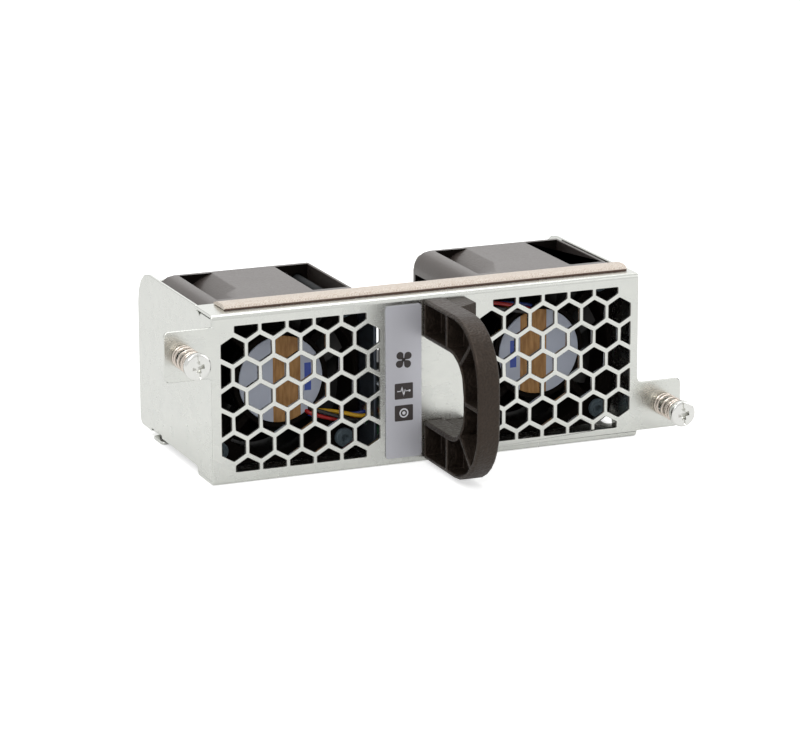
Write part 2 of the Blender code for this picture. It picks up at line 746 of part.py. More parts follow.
def turned_box(u, v, length, width, degrees):
    """A rectangle turned about its centre."""
    angle = math.radians(degrees)
    along = Vector((math.cos(angle), math.sin(angle))) * length / 2
    across = Vector((-math.sin(angle), math.cos(angle))) * width / 2
    centre = Vector((u, v))
    return [tuple(centre + a * along + b * across) for a, b in ((-1, -1), (1, -1), (1, 1), (-1, 1))]


def build_handle():
    """The moulded pull handle: a C-shaped band with ribbed pockets on two widened feet."""
    right = HANDLE_LEFT_X + HANDLE_BAND
    handle = prism("handle", handle_outline(0.0), "X", HANDLE_LEFT_X, right, "black_nylon")
    boolean(handle, prism("window", handle_window(0.0), "X", HANDLE_LEFT_X - OVER, right + OVER))
    edge = handle.modifiers.new("soft_edges", "BEVEL")
    edge.width = HANDLE_EDGE
    edge.segments = 1
    edge.limit_method = "ANGLE"
    edge.angle_limit = math.radians(60.0)
    graph = bpy.context.evaluated_depsgraph_get()
    softened = bpy.data.meshes.new_from_object(handle.evaluated_get(graph))
    handle.modifiers.clear()
    handle.data = softened

    foot_right = HANDLE_LEFT_X + FOOT_WIDTH
    back = -THIN_SEAT
    plan = [(right - OVER, back), (foot_right, back), (foot_right, -FOOT_THICKNESS),
            (right, -FOOT_GUSSET), (right - OVER, -FOOT_GUSSET)]
    top = HANDLE_HEIGHT / 2 - HANDLE_EDGE - THIN_SEAT
    low = HANDLE_HEIGHT / 2 - HANDLE_ARM + HANDLE_EDGE + THIN_SEAT
    for side in (1, -1):
        join(handle, prism("foot", plan, "Z", *sorted((side * low, side * top))))

    pockets = prism("pockets", handle_outline(HANDLE_RIM), "X",
                    HANDLE_LEFT_X - OVER, right - HANDLE_WEB)
    boolean(pockets, prism("core", handle_window(HANDLE_RIM), "X",
                           HANDLE_LEFT_X - 2 * OVER, right + OVER))
    arm_z = HANDLE_HEIGHT / 2 - HANDLE_ARM / 2
    corner_y = -HANDLE_REACH + HANDLE_OUTER_RADIUS * CORNER_RIB_SHARE
    corner_z = HANDLE_HEIGHT / 2 - HANDLE_OUTER_RADIUS * CORNER_RIB_SHARE
    long = HANDLE_ARM * 2
    ribs = [turned_box(-HANDLE_REACH, 0.0, long * 2, HANDLE_RIB, 0)]
    for side in (1, -1):
        ribs.append(turned_box(HANDLE_RIB_Y, side * arm_z, long, HANDLE_RIB, 90))
        ribs.append(turned_box(corner_y, side * corner_z, long, HANDLE_RIB, -45 * side))
    for rib in ribs:
        boolean(pockets, prism("rib", rib, "X", HANDLE_LEFT_X - 2 * OVER, right + OVER))
    boolean(handle, pockets)

    bosses = []
    for side in (1, -1):
        bosses.append((circle(handle_screw_x(), side * HANDLE_SCREW_Z, HANDLE_SCREW_R + RUN, 12), "Y",
                       -THIN_SEAT - HANDLE_SCREW_DEPTH, OVER))
    boolean(handle, prisms("bosses", bosses))
    return smooth(handle)


def build_handle_screws():
    """Two pan-head screws from behind the faceplate into the handle's feet."""
    for label, side in (("top", 1), ("bottom", -1)):
        head = SHEET + THIN_SEAT
        tip = -THIN_SEAT - HANDLE_SCREW_DEPTH + SEAT
        profile = [(0.0, tip), (HANDLE_SCREW_R, tip + HANDLE_SCREW_R / 2), (HANDLE_SCREW_R, head),
                   (SCREW_HEAD_R, head), (SCREW_HEAD_R, head + SCREW_HEAD_H * 0.5),
                   (SCREW_HEAD_R * 0.6, head + SCREW_HEAD_H), (0.0, head + SCREW_HEAD_H)]
        turned(f"handle_screw_{label}", profile, handle_screw_x(), side * HANDLE_SCREW_Z, "steel",
               10, False)


def gasket_arch(grow):
    """The gasket's crowned top edge, (y, z): high near the front and thin at the rear."""
    base = HALF_H + THIN_SEAT
    points = []
    steps = 8
    for i in range(steps + 1):
        share = i / steps
        rise = math.sin(math.pi * share ** 0.8) ** 0.7 if 0 < i < steps else 0.0
        y = GASKET_FRONT + GASKET_CLOTH * 2 + share * (GASKET_DEPTH - 4 * GASKET_CLOTH)
        points.append((y, base + rise * GASKET_CROWN))
    lean = points[0][0], points[-1][0]
    middle = (lean[0] + lean[1]) / 2
    half = (lean[1] - lean[0]) / 2
    return [(middle + (y - middle) * (1 + grow / half), z + (grow if 0 < i < steps else 0.0))
            for i, (y, z) in enumerate(points)]


def build_gasket():
    """The shielding gasket: a foam core in a conductive cloth sleeve, along the lip."""
    core = gasket_arch(0.0)
    prism("gasket_foam", core, "X", GASKET_START, GASKET_END, "foam")
    inner = gasket_arch(GASKET_CLOTH / 2)
    outer = gasket_arch(GASKET_CLOTH * 1.5)
    sleeve = prism("gasket_cloth", outer + inner[::-1], "X", GASKET_START, GASKET_END, "cloth")
    return smooth(sleeve)


def build_centre_bracket():
    """The channel between the fans: a floor and two upright walls that guide the leads."""
    half, inner = BRACKET_HALF_WIDTH, BRACKET_HALF_WIDTH - SHEET
    section = rounded([
        (-half, BRACKET_TOP), (-half, PLATE_BOTTOM, BRACKET_BEND + SHEET),
        (half, PLATE_BOTTOM, BRACKET_BEND + SHEET), (half, BRACKET_TOP), (inner, BRACKET_TOP),
        (inner, PLATE_TOP, BRACKET_BEND), (-inner, PLATE_TOP, BRACKET_BEND), (-inner, BRACKET_TOP)], 3)
    bracket = prism("centre_bracket", section, "Y", BRACKET_START, FAN_REAR, "dark_zinc")
    above = rounded([
        (BRACKET_SHOULDER, BRACKET_TOP + OVER), (BRACKET_SHOULDER, BRACKET_TOP),
        (BRACKET_SHOULDER + BRACKET_SLOPE, BRACKET_LOW_TOP), (FAN_REAR + OVER, BRACKET_LOW_TOP),
        (FAN_REAR + OVER, BRACKET_TOP + OVER)])
    boolean(bracket, prism("above", above, "X", -half - OVER, half + OVER))
    cuts = []
    for side, lead_z in ((-1, -LEAD_OUT_Z), (1, LEAD_OUT_Z)):
        wall = sorted((side * (inner - OVER), side * (half + OVER)))
        cuts.append((circle(LEAD_OUT_Y, FAN_Z + lead_z, LEAD_HOLE_R, 14), "X", *wall))
    boolean(bracket, prisms("lead_holes", cuts))
    floor_cuts = [(circle(x, y, RIVET_R + RUN, 12), "Z", PLATE_BOTTOM - OVER, PLATE_TOP + OVER)
                  for name, x, y in rivet_places() if name.startswith("bracket")]
    floor_cuts += [(circle(x, y, SUPPORT_R + RUN, 12), "Z", PLATE_BOTTOM - OVER, PLATE_TOP + OVER)
                   for _, x, y in support_places()]
    boolean(bracket, prisms("floor_cuts", floor_cuts))
    return smooth(bracket)


def support_places():
    """Name, x and y of each snap-in board support."""
    return [("board_support_front", 0.0, BOARD_START + SUPPORT_FRONT),
            ("board_support_rear", 0.0, BOARD_END - SUPPORT_REAR)]


def build_rear_frame():
    """The plate behind the fans: two round openings, pin holes and a slot for the connector."""
    half = WALL_OUT - SHEET - FRAME_SIDE_GAP
    top = FAN_Z + HALF_FAN - FRAME_DROP
    bridge = FRAME_SLOT_TOP + FRAME_BRIDGE
    step = FAN_X - HALF_FAN + FRAME_DROP
    plate = rounded([
        (-half, PLATE_BOTTOM), (half, PLATE_BOTTOM), (half, top, FRAME_CORNER), (step, top, FRAME_CORNER),
        (step, bridge, FRAME_CORNER), (-step, bridge, FRAME_CORNER), (-step, top, FRAME_CORNER),
        (-half, top, FRAME_CORNER)])
    frame = prism("rear_frame", plate, "Y", FRAME_FRONT, FRAME_REAR, "zinc")
    for side in (-1, 1):
        ends = sorted((side * FRAME_SLOT_HALF, side * half))
        foot = box_outline(*ends, FRAME_FRONT, FRAME_REAR + FRAME_FLANGE)
        join(frame, prism("foot", foot, "Z", PLATE_BOTTOM, PLATE_TOP))
    through = ("Y", FRAME_FRONT - OVER, FRAME_REAR + OVER)
    cuts = [(box_outline(-FRAME_SLOT_HALF, FRAME_SLOT_HALF, PLATE_BOTTOM - OVER, FRAME_SLOT_TOP), *through)]
    for x in (-FAN_X, FAN_X):
        cuts.append((circle(x, FAN_Z, BORE_R, 32), *through))
        for px, pz in pin_offsets():
            cuts.append((circle(x + px, FAN_Z + pz, PIN_SHANK_R + RUN, 8), *through))
    boolean(frame, prisms("openings", cuts))
    rivets = [(circle(x, y, RIVET_R + RUN, 12), "Z", PLATE_BOTTOM - OVER, PLATE_TOP + OVER)
              for name, x, y in rivet_places() if name.startswith("frame")]
    boolean(frame, prisms("rivet_holes", rivets))
    return smooth(frame)


def build_rivets():
    """Round-head rivets, set flush under the floor."""
    for name, x, y in rivet_places():
        bottom = -HALF_H + WALL_TOP_DROP
        top = PLATE_TOP + THIN_SEAT
        outline = [(0.0, bottom), (RIVET_R, bottom), (RIVET_R, top), (RIVET_HEAD_R, top),
                   (RIVET_HEAD_R * 0.8, top + RIVET_HEAD * 0.7), (0.0, top + RIVET_HEAD)]
        rivet = turned(name, outline, 0.0, 0.0, "steel", 10, False)
        stand_up(rivet, x, y)


def stand_up(obj, x, y):
    """Turn a solid made along Y so that it stands along Z at x, y."""
    obj.data.transform(Matrix.Rotation(math.radians(90), 4, "X"))
    obj.data.transform(Matrix.Translation((x, y, 0.0)))
    obj.data.update()


def pin_offsets():
    """The four corner holes of a fan, from its axis."""
    half = PIN_PITCH / 2
    return [(-half, half), (half, half), (half, -half), (-half, -half)]


def fan_outline():
    """A square fan flange, (x, z) from the axis: two corners are round and two are tight."""
    half = HALF_FAN
    return rounded([(-half, half, ROUND_CORNER), (half, half, TIGHT_CORNER),
                    (half, -half, ROUND_CORNER), (-half, -half, TIGHT_CORNER)])


def fan_pockets(x):
    """What is hollowed out between the flanges, outside the barrel."""
    far, inner = HALF_FAN + OVER, HALF_FAN - POST_WIDTH
    open_corner = box_outline(CROWN_OUT, HALF_FAN - THIN_WALL, TIGHT_CORNER, far)
    above_post = box_outline(-inner + SEAT, 0.0, inner + SEAT, far)
    beside_post = box_outline(-far, -inner - SEAT, 0.0, inner - SEAT)
    y_range = ("Y", FAN_FRONT + FRONT_FLANGE, FAN_REAR - REAR_FLANGE)
    parts = []
    for outline in (open_corner, above_post, beside_post):
        parts.append((shifted(outline, x, FAN_Z), *y_range))
        parts.append((shifted(half_turned(outline), x, FAN_Z), *y_range))
    pockets = prisms("pockets", parts)
    bell = HALF_FAN + BELL_BULGE
    barrel = turned("barrel", [
        (0.0, FAN_FRONT), (bell, FAN_FRONT), (bell, FAN_FRONT + FRONT_FLANGE),
        (BARREL_R, FAN_FRONT + BELL_DEPTH), (BARREL_R, FAN_REAR), (0.0, FAN_REAR)], x, FAN_Z, None, 40, False)
    return boolean(pockets, barrel)


def build_fan_housing(side_name, x):
    """One moulded fan frame: flanges, barrel, corner posts, struts, motor base and bearing tube."""
    flange = shifted(fan_outline(), x, FAN_Z)
    housing = prism(f"fan_housing_{side_name}", flange, "Y", FAN_FRONT, FAN_REAR, "black_fan")
    boolean(housing, fan_pockets(x))
    through = ("Y", FAN_FRONT - OVER, FAN_REAR + OVER)
    boolean(housing, prism("bore", circle(x, FAN_Z, BORE_R, 32), *through))
    pins = [(circle(x + px, FAN_Z + pz, PIN_SHANK_R + RUN, 8), *through) for px, pz in pin_offsets()]
    boolean(housing, prisms("pin_holes", pins))

    rim_rear = BASE_REAR + BASE_RIM_REAR
    inner = MOTOR_R - MOTOR_RIM
    floor = MOTOR_FRONT + SEAT
    tube_end = BASE_REAR + TUBE_LENGTH
    base = turned("base", [
        (TUBE_BORE, floor), (inner, floor), (inner, MOTOR_FRONT), (MOTOR_R, MOTOR_FRONT),
        (MOTOR_R, rim_rear), (inner, rim_rear), (inner, BASE_REAR), (TUBE_R, BASE_REAR),
        (TUBE_R, tube_end), (TUBE_BORE, tube_end)], x, FAN_Z, None, 24)
    start = MOTOR_R - MOTOR_RIM / 2
    reach = BORE_R + BORE_WALL / 2
    for i in range(STRUT_COUNT):
        degrees = 45 + i * 360 / STRUT_COUNT
        angle = math.radians(degrees)
        radius = (start + reach) / 2
        bar = turned_box(x + radius * math.cos(angle), FAN_Z + radius * math.sin(angle),
                         reach - start, STRUT_WIDTH, degrees)
        join(base, prism("strut", bar, "Y", FAN_FRONT + THIN_SEAT, FAN_FRONT + STRUT_DEPTH))
    join(housing, base)
    return smooth(housing)


def build_hub_label(side_name, x):
    """The round sticker in the motor base's recess, bare."""
    front = MOTOR_FRONT - THIN_SEAT
    profile = [(0.0, front), (HUB_LABEL_R, front), (HUB_LABEL_R, front + SEAT), (0.0, front + SEAT)]
    turned(f"hub_label_{side_name}", profile, x, FAN_Z, "label", 28, False)


def build_motor(side_name, x):
    """What stays still inside the hub: the driver board, the wound stator and two bearings."""
    board_front = BASE_REAR + SEAT
    inner = TUBE_R + RUN
    turned(f"driver_board_{side_name}",
           [(inner, board_front), (MOTOR_R - MOTOR_RIM - 2 * RUN, board_front),
            (MOTOR_R - MOTOR_RIM - 2 * RUN, board_front + BOARD_SHEET), (inner, board_front + BOARD_SHEET)],
           x, FAN_Z, "board", 24)
    stack_front = board_front + BOARD_SHEET + STATOR_START
    outline = []
    quarter = 360 / STATOR_POLES
    shoe = quarter * POLE_SPAN / 2
    core, tooth = inner + CORE_WALL, STATOR_R - POLE_SHOE
    neck = math.degrees(math.asin(POLE_HALF / tooth))
    for i in range(STATOR_POLES):
        middle = i * quarter
        outline += circle(0.0, 0.0, core, 1, math.radians(middle - shoe))
        outline += arc(0.0, 0.0, tooth, middle - neck, middle - shoe, 1)
        outline += arc(0.0, 0.0, STATOR_R, middle - shoe, middle + shoe, 4)
        outline += arc(0.0, 0.0, tooth, middle + shoe, middle + neck, 1)
        outline += circle(0.0, 0.0, core, 1, math.radians(middle + shoe))
    stator = prism(f"stator_{side_name}", shifted(outline, x, FAN_Z), "Y", stack_front,
                   stack_front + STATOR_STACK, "lamination")
    for i in range(STATOR_POLES):
        degrees = i * quarter
        angle = math.radians(degrees)
        radius = (core + tooth) / 2
        coil = turned_box(x + radius * math.cos(angle), FAN_Z + radius * math.sin(angle),
                          COIL_DEPTH, COIL_WIDTH, degrees)
        join(stator, prism("coil", coil, "Y", stack_front - COIL_OVERHANG,
                           stack_front + STATOR_STACK + COIL_OVERHANG))
    boolean(stator, prism("tube_hole", circle(x, FAN_Z, inner, 16), "Y", stack_front - 2 * OVER,
                          stack_front + STATOR_STACK + 2 * OVER))
    bearing_y = {"front": BASE_REAR + BEARING_INSET,
                 "rear": BASE_REAR + TUBE_LENGTH - BEARING_WIDTH - BEARING_INSET}
    for place, start in bearing_y.items():
        ring = [(SHAFT_R + RUN, start), (BEARING_R, start), (BEARING_R, start + BEARING_WIDTH),
                (SHAFT_R + RUN, start + BEARING_WIDTH)]
        turned(f"bearing_{place}_{side_name}", ring, x, FAN_Z, "steel", 14)


def blade_mesh(bm, x, turn):
    """One twisted blade: a thick curved sheet from inside the hub wall to the tip."""
    chord_steps, span_steps = 5, 2
    root = MOTOR_R - HUB_WALL / 2
    start = FAN_FRONT + HUB_START + BLADE_START
    grid = {}
    for face in (0, 1):
        for i in range(chord_steps + 1):
            along = i / chord_steps
            camber = math.sin(math.pi * along) * BLADE_CAMBER
            thin = 0.35 + 0.65 * math.sin(math.pi * min(1.0, 0.15 + along * 0.8))
            for j in range(span_steps + 1):
                out = j / span_steps
                radius = root + (BLADE_TIP_R - root) * out
                sweep = BLADE_SWEEP * (1 - BLADE_TAPER * out)
                angle = turn + sweep * (along - 0.5) + camber + BLADE_LEAN * out
                angle += (face - 0.5) * BLADE_THICKNESS * thin / radius
                y = start + BLADE_CHORD * along
                grid[face, i, j] = bm.verts.new((x + radius * math.cos(angle), y,
                                                 FAN_Z + radius * math.sin(angle)))
    for i in range(chord_steps):
        for j in range(span_steps):
            for face in (0, 1):
                bm.faces.new([grid[face, i, j], grid[face, i + 1, j],
                              grid[face, i + 1, j + 1], grid[face, i, j + 1]])
        for j in (0, span_steps):
            bm.faces.new([grid[0, i, j], grid[0, i + 1, j], grid[1, i + 1, j], grid[1, i, j]])
    for j in range(span_steps):
        for i in (0, chord_steps):
            bm.faces.new([grid[0, i, j], grid[0, i, j + 1], grid[1, i, j + 1], grid[1, i, j]])


def snap_ring(x, z, outer, inner, gap):
    """A snap ring's outline, (x, z): a ring with a gap of one width at its side."""
    first = math.degrees(math.asin(gap / 2 / outer))
    second = math.degrees(math.asin(min(0.9, gap / 2 / inner)))
    return arc(x, z, outer, first, 360 - first, 16) + arc(x, z, inner, 360 - second, second, 16)


def build_rotor(side_name, x):
    """The impeller, its magnet and yoke, the shaft and the clip that keeps the shaft in."""
    start = FAN_FRONT + HUB_START
    end = start + HUB_LENGTH
    wall = MOTOR_R - HUB_WALL
    bore = SHAFT_R + THIN_SEAT
    cap = end - HUB_CAP
    hub = turned(f"impeller_{side_name}", [
        (wall, start), (MOTOR_R, start), (MOTOR_R, end - HUB_NOSE),
        (MOTOR_R - HUB_NOSE * 0.3, end - HUB_NOSE * 0.3), (MOTOR_R - HUB_NOSE, end), (bore, end),
        (bore, end - HUB_BOSS), (HUB_BOSS_R, end - HUB_BOSS), (HUB_BOSS_R, cap), (wall, cap)],
        x, FAN_Z, "black_fan", 28)
    blades = bmesh.new()
    for i in range(BLADE_COUNT):
        blade_mesh(blades, x, 2 * math.pi * i / BLADE_COUNT)
    join(hub, add_object("blades", blades))
    smooth(hub)

    magnet_start = BASE_REAR + SEAT + BOARD_SHEET + YOKE_START
    magnet_end = magnet_start + STATOR_STACK + YOKE_REACH
    lip = MAGNET_R - YOKE_LIP
    turned(f"magnet_yoke_{side_name}", [
        (MAGNET_R, magnet_start), (YOKE_R, magnet_start), (YOKE_R, magnet_end), (lip, magnet_end),
        (lip, magnet_end - SHEET), (MAGNET_R, magnet_end - SHEET)], x, FAN_Z, "magnet", 24)

    tail = MOTOR_FRONT + SEAT + SHAFT_START
    groove = tail + CLIP_GROOVE
    groove_end = groove + CLIP_GROOVE
    neck = SHAFT_R * 0.7
    turned(f"shaft_{side_name}", [
        (0.0, tail), (SHAFT_R, tail), (SHAFT_R, groove), (neck, groove), (neck, groove_end),
        (SHAFT_R, groove_end), (SHAFT_R, end - SEAT), (0.0, end - SEAT)], x, FAN_Z, "steel", 12, False)
    ring = snap_ring(x, FAN_Z, SHAFT_R * 2, neck + CLIP_PLAY, RING_GAP)
    return smooth(prism(f"shaft_clip_{side_name}", ring, "Y", groove + CLIP_PLAY, groove_end - CLIP_PLAY,
                        "steel"))


def build_fan_pins(side_name, x):
    """Four rubber pins through a fan's corners into the rear frame, each with a hollow head."""
    head_back = FAN_FRONT - THIN_SEAT
    head = head_back - PIN_HEAD
    barb = FRAME_REAR + THIN_SEAT
    dimple = PIN_HEAD_R * 0.42
    for number, (px, pz) in enumerate(pin_offsets(), 1):
        profile = [(0.0, head + PIN_HEAD * 0.8), (dimple, head + PIN_HEAD * 0.8), (dimple, head),
                   (PIN_HEAD_R * 0.8, head), (PIN_HEAD_R, head + PIN_HEAD * 0.4), (PIN_HEAD_R, head_back),
                   (PIN_SHANK_R, head_back), (PIN_SHANK_R, barb), (PIN_BARB_R, barb),
                   (PIN_BARB_R * 0.9, barb + PIN_BARB_EDGE), (PIN_SHANK_R * 0.7, barb + PIN_BARB),
                   (PIN_SHANK_R * 0.6, barb + PIN_TAIL), (0.0, barb + PIN_TAIL)]
        turned(f"fan_pin_{side_name}_{number}", profile, x + px, FAN_Z + pz, "rubber", 8, False)


def lead_route(side):
    """A fan lead's own points, from the hub over the flange and through the bracket to its plug.

    The right fan sits turned half a turn, so its lead leaves above its axis."""
    hub_x = side * FAN_X
    flip = 1 if side < 0 else -1
    toward = -side
    exit_u = math.cos(LEAD_EXIT) * (MOTOR_R + BORE_R) / 2
    exit_v = math.sin(LEAD_EXIT) * (MOTOR_R + BORE_R) / 2
    plug_front = HEADER_START - SEAT - PLUG_LENGTH - SEAT
    plug_z = BOARD_TOP + SEAT + HEADER_HEIGHT / 2
    hole_z = FAN_Z - flip * LEAD_OUT_Z
    wall = BRACKET_HALF_WIDTH - SHEET / 2
    return [
        (hub_x + toward * exit_u, MOTOR_FRONT + LEAD_EXIT_DEPTH, FAN_Z - flip * exit_v),
        (hub_x + toward * (exit_u + LEAD_LOOP), LEAD_OUT_Y + LEAD_R / 2, FAN_Z - flip * exit_v),
        (-toward * (wall + LEAD_BEND), LEAD_OUT_Y, hole_z),
        (-toward * wall, LEAD_OUT_Y, hole_z),
        (-toward * (wall - LEAD_INSET), LEAD_OUT_Y + LEAD_TURN, hole_z + (plug_z - hole_z) * LEAD_DROP_SHARE),
        (-toward * (wall - LEAD_INSET), LEAD_OUT_Y + LEAD_BEND, (hole_z + plug_z) / 2),
        (-toward * (wall - LEAD_INSET), plug_front - LEAD_BEND, plug_z),
        (-toward * HEADER_X, plug_front - LEAD_R, plug_z),
        (-toward * HEADER_X, plug_front - THIN_SEAT, plug_z),
    ]


def smooth_points(points, count):
    """Points along a Catmull-Rom curve through the route's own points."""
    padded = [points[0]] + list(points) + [points[-1]]
    route = []
    for i in range(1, len(padded) - 2):
        p0, p1, p2, p3 = (Vector(p) for p in padded[i - 1:i + 3])
        for k in range(count):
            t = k / count
            route.append(0.5 * (2 * p1 + (p2 - p0) * t + (2 * p0 - 5 * p1 + 4 * p2 - p3) * t ** 2
                                + (3 * p1 - p0 - 3 * p2 + p3) * t ** 3))
    route.append(Vector(points[-1]))
    return route


def tube(name, points, radius, finish, resolution):
    """A round tube along a route, as a beveled curve with filled caps."""
    curve = bpy.data.curves.new(name, "CURVE")
    curve.dimensions = "3D"
    curve.bevel_depth = radius
    curve.bevel_resolution = resolution
    curve.use_fill_caps = True
    spline = curve.splines.new("POLY")
    spline.points.add(len(points) - 1)
    for spot, point in zip(spline.points, points):
        spot.co = (*point, 1.0)
    curve.materials.append(material(finish))
    obj = bpy.data.objects.new(name, curve)
    bpy.context.scene.collection.objects.link(obj)
    return obj


def build_lead(side_name, side):
    """A fan's lead, its crimp plug and the header it enters."""
    route = lead_route(side)
    tube(f"fan_lead_{side_name}", smooth_points(route[:-1], 3) + [Vector(route[-1])], LEAD_R, "wire", 1)
    x = side * HEADER_X
    half, low = HEADER_WIDTH / 2, BOARD_TOP + SEAT
    body = box_outline(x - half, x + half, low, low + HEADER_HEIGHT)
    header = prism(f"fan_header_{side_name}", body, "Y", HEADER_START, HEADER_START + HEADER_LENGTH,
                   "ivory")
    rim = HEADER_WALL
    socket = box_outline(x - half + rim, x + half - rim, low + rim, low + HEADER_HEIGHT - rim)
    socket_end = HEADER_START + HEADER_LENGTH - HEADER_BACK
    boolean(header, prism("socket", socket, "Y", HEADER_START - OVER, socket_end))
    plug_end = HEADER_START - SEAT
    nose = box_outline(x - half + rim + RUN, x + half - rim - RUN, low + rim + RUN,
                       low + HEADER_HEIGHT - rim - RUN)
    grip = box_outline(x - half + RUN, x + half - RUN, low, low + HEADER_HEIGHT)
    plug = prism(f"fan_plug_{side_name}", grip, "Y", plug_end - PLUG_LENGTH, plug_end, "ivory")
    join(plug, prism("nose", nose, "Y", plug_end - OVER, socket_end - RUN))


def build_fan_board():
    """The board in the channel, with its two indicator lamps, on snap-in supports."""
    half = BOARD_HALF_WIDTH
    board = prism("fan_board", box_outline(-half, half, BOARD_START, BOARD_END), "Z",
                  BOARD_BOTTOM, BOARD_TOP, "board")
    chips = []
    sunk = BOARD_TOP - BOARD_SHEET / 2
    for u in (-CHIP_PITCH, 0.0, CHIP_PITCH):
        chips.append((box_outline(u - CHIP_WIDTH / 2, u + CHIP_WIDTH / 2, CHIP_START,
                                  CHIP_START + CHIP_LENGTH), "Z", sunk, BOARD_TOP + CHIP_HEIGHT))
    for spot in lamp_places():
        chips.append((box_outline(LABEL_X - LAMP_WIDTH / 2, LABEL_X + LAMP_WIDTH / 2, spot - LAMP_LENGTH / 2,
                                  spot + LAMP_LENGTH / 2), "Z", sunk, BOARD_TOP + LAMP_HEIGHT))
    join(board, prisms("chips", chips))
    holes = [(circle(x, y, SUPPORT_R * 0.7 + RUN, 12), "Z", BOARD_BOTTOM - OVER, BOARD_TOP + OVER)
             for _, x, y in support_places()]
    boolean(board, prisms("support_holes", holes))
    for name, x, y in support_places():
        foot = PLATE_BOTTOM + THIN_SEAT / 2
        shelf = BOARD_BOTTOM - THIN_SEAT
        head = BOARD_TOP + THIN_SEAT
        collar = PLATE_TOP + THIN_SEAT
        collar_top = collar + SUPPORT_COLLAR
        support = turned(name, [
            (0.0, foot), (SUPPORT_R, foot), (SUPPORT_R, collar), (SUPPORT_R * 1.7, collar),
            (SUPPORT_R * 1.7, collar_top), (SUPPORT_R, collar_top), (SUPPORT_R, shelf),
            (SUPPORT_R * 0.7, shelf), (SUPPORT_R * 0.7, head), (SUPPORT_R * 1.1, head + SUPPORT_COLLAR / 2),
            (SUPPORT_R * 0.4, head + SUPPORT_HEAD), (0.0, head + SUPPORT_HEAD)], 0.0, 0.0, "ivory", 8, False)
        stand_up(support, x, y)


def lamp_places():
    """How far back each indicator lamp sits on the board."""
    return (BOARD_START + LAMP_OFFSET + LAMP_PITCH, BOARD_START + LAMP_OFFSET)


def build_light_guide():
    """The clear moulding that carries the lamps' light to the two windows under the label."""
    half = WINDOW_HEIGHT / 2 - RUN
    leg = GUIDE_LEG / 2
    front = SEAT / 2
    wide = WINDOW_WIDTH / 2 - RUN
    foot = BOARD_TOP + LAMP_HEIGHT + SEAT
    guide = None
    for window_z, lamp_y in zip(WINDOW_Z, lamp_places()):
        low, high = window_z - half, window_z + half
        bend = lamp_y - leg
        arm = prism("light_guide", box_outline(front, bend + leg, low, high), "X", LABEL_X - wide,
                    LABEL_X + wide, "acrylic")
        slope = [(bend, foot), (bend + 2 * leg, foot), (bend + 2 * leg, high - half),
                 (bend + leg, high - SEAT), (bend, high - SEAT)]
        join(arm, prism("leg", slope, "X", LABEL_X - leg, LABEL_X + leg))
        guide = join(guide, arm) if guide else arm
    bridge = box_outline(LABEL_X - leg, LABEL_X + leg, WINDOW_Z[1], WINDOW_Z[0])
    lens_back = SHEET + GUIDE_BRIDGE_BACK
    return join(guide, prism("bridge", bridge, "Y", lens_back, lens_back + GUIDE_BRIDGE))


def build_rear_connector():
    """The blind-mate connector: a socket with a row of blades and two guide noses."""
    half, low = CONNECTOR_HALF_WIDTH, BOARD_TOP + SEAT
    high = low + CONNECTOR_HEIGHT
    body = rounded([(-half, low), (half, low), (half, high, CONNECTOR_CORNER),
                    (-half, high, CONNECTOR_CORNER)])
    connector = prism("rear_connector", body, "Y", CONNECTOR_START, CONNECTOR_END, "connector")
    rim = CONNECTOR_WALL
    depth = CONNECTOR_END - CONNECTOR_DEPTH
    socket = box_outline(-half + 3 * rim, half - 3 * rim, low + rim, high - rim)
    boolean(connector, prism("socket", socket, "Y", depth, CONNECTOR_END + OVER))
    blades = []
    for i in range(CONTACT_COUNT):
        x = (i - (CONTACT_COUNT - 1) / 2) * CONTACT_PITCH
        blades.append((box_outline(x - CONTACT_WIDTH / 2, x + CONTACT_WIDTH / 2, low + 2 * rim,
                                   high - 2 * rim), "Y", depth - OVER, CONNECTOR_END - OVER))
    join(connector, prisms("blades", blades))
    guides = [(circle(side * (half - 1.5 * rim), (low + high) / 2, rim * 0.9, 12), "Y", depth,
               CONNECTOR_END + OVER) for side in (-1, 1)]
    boolean(connector, prisms("guides", guides))
    return connector


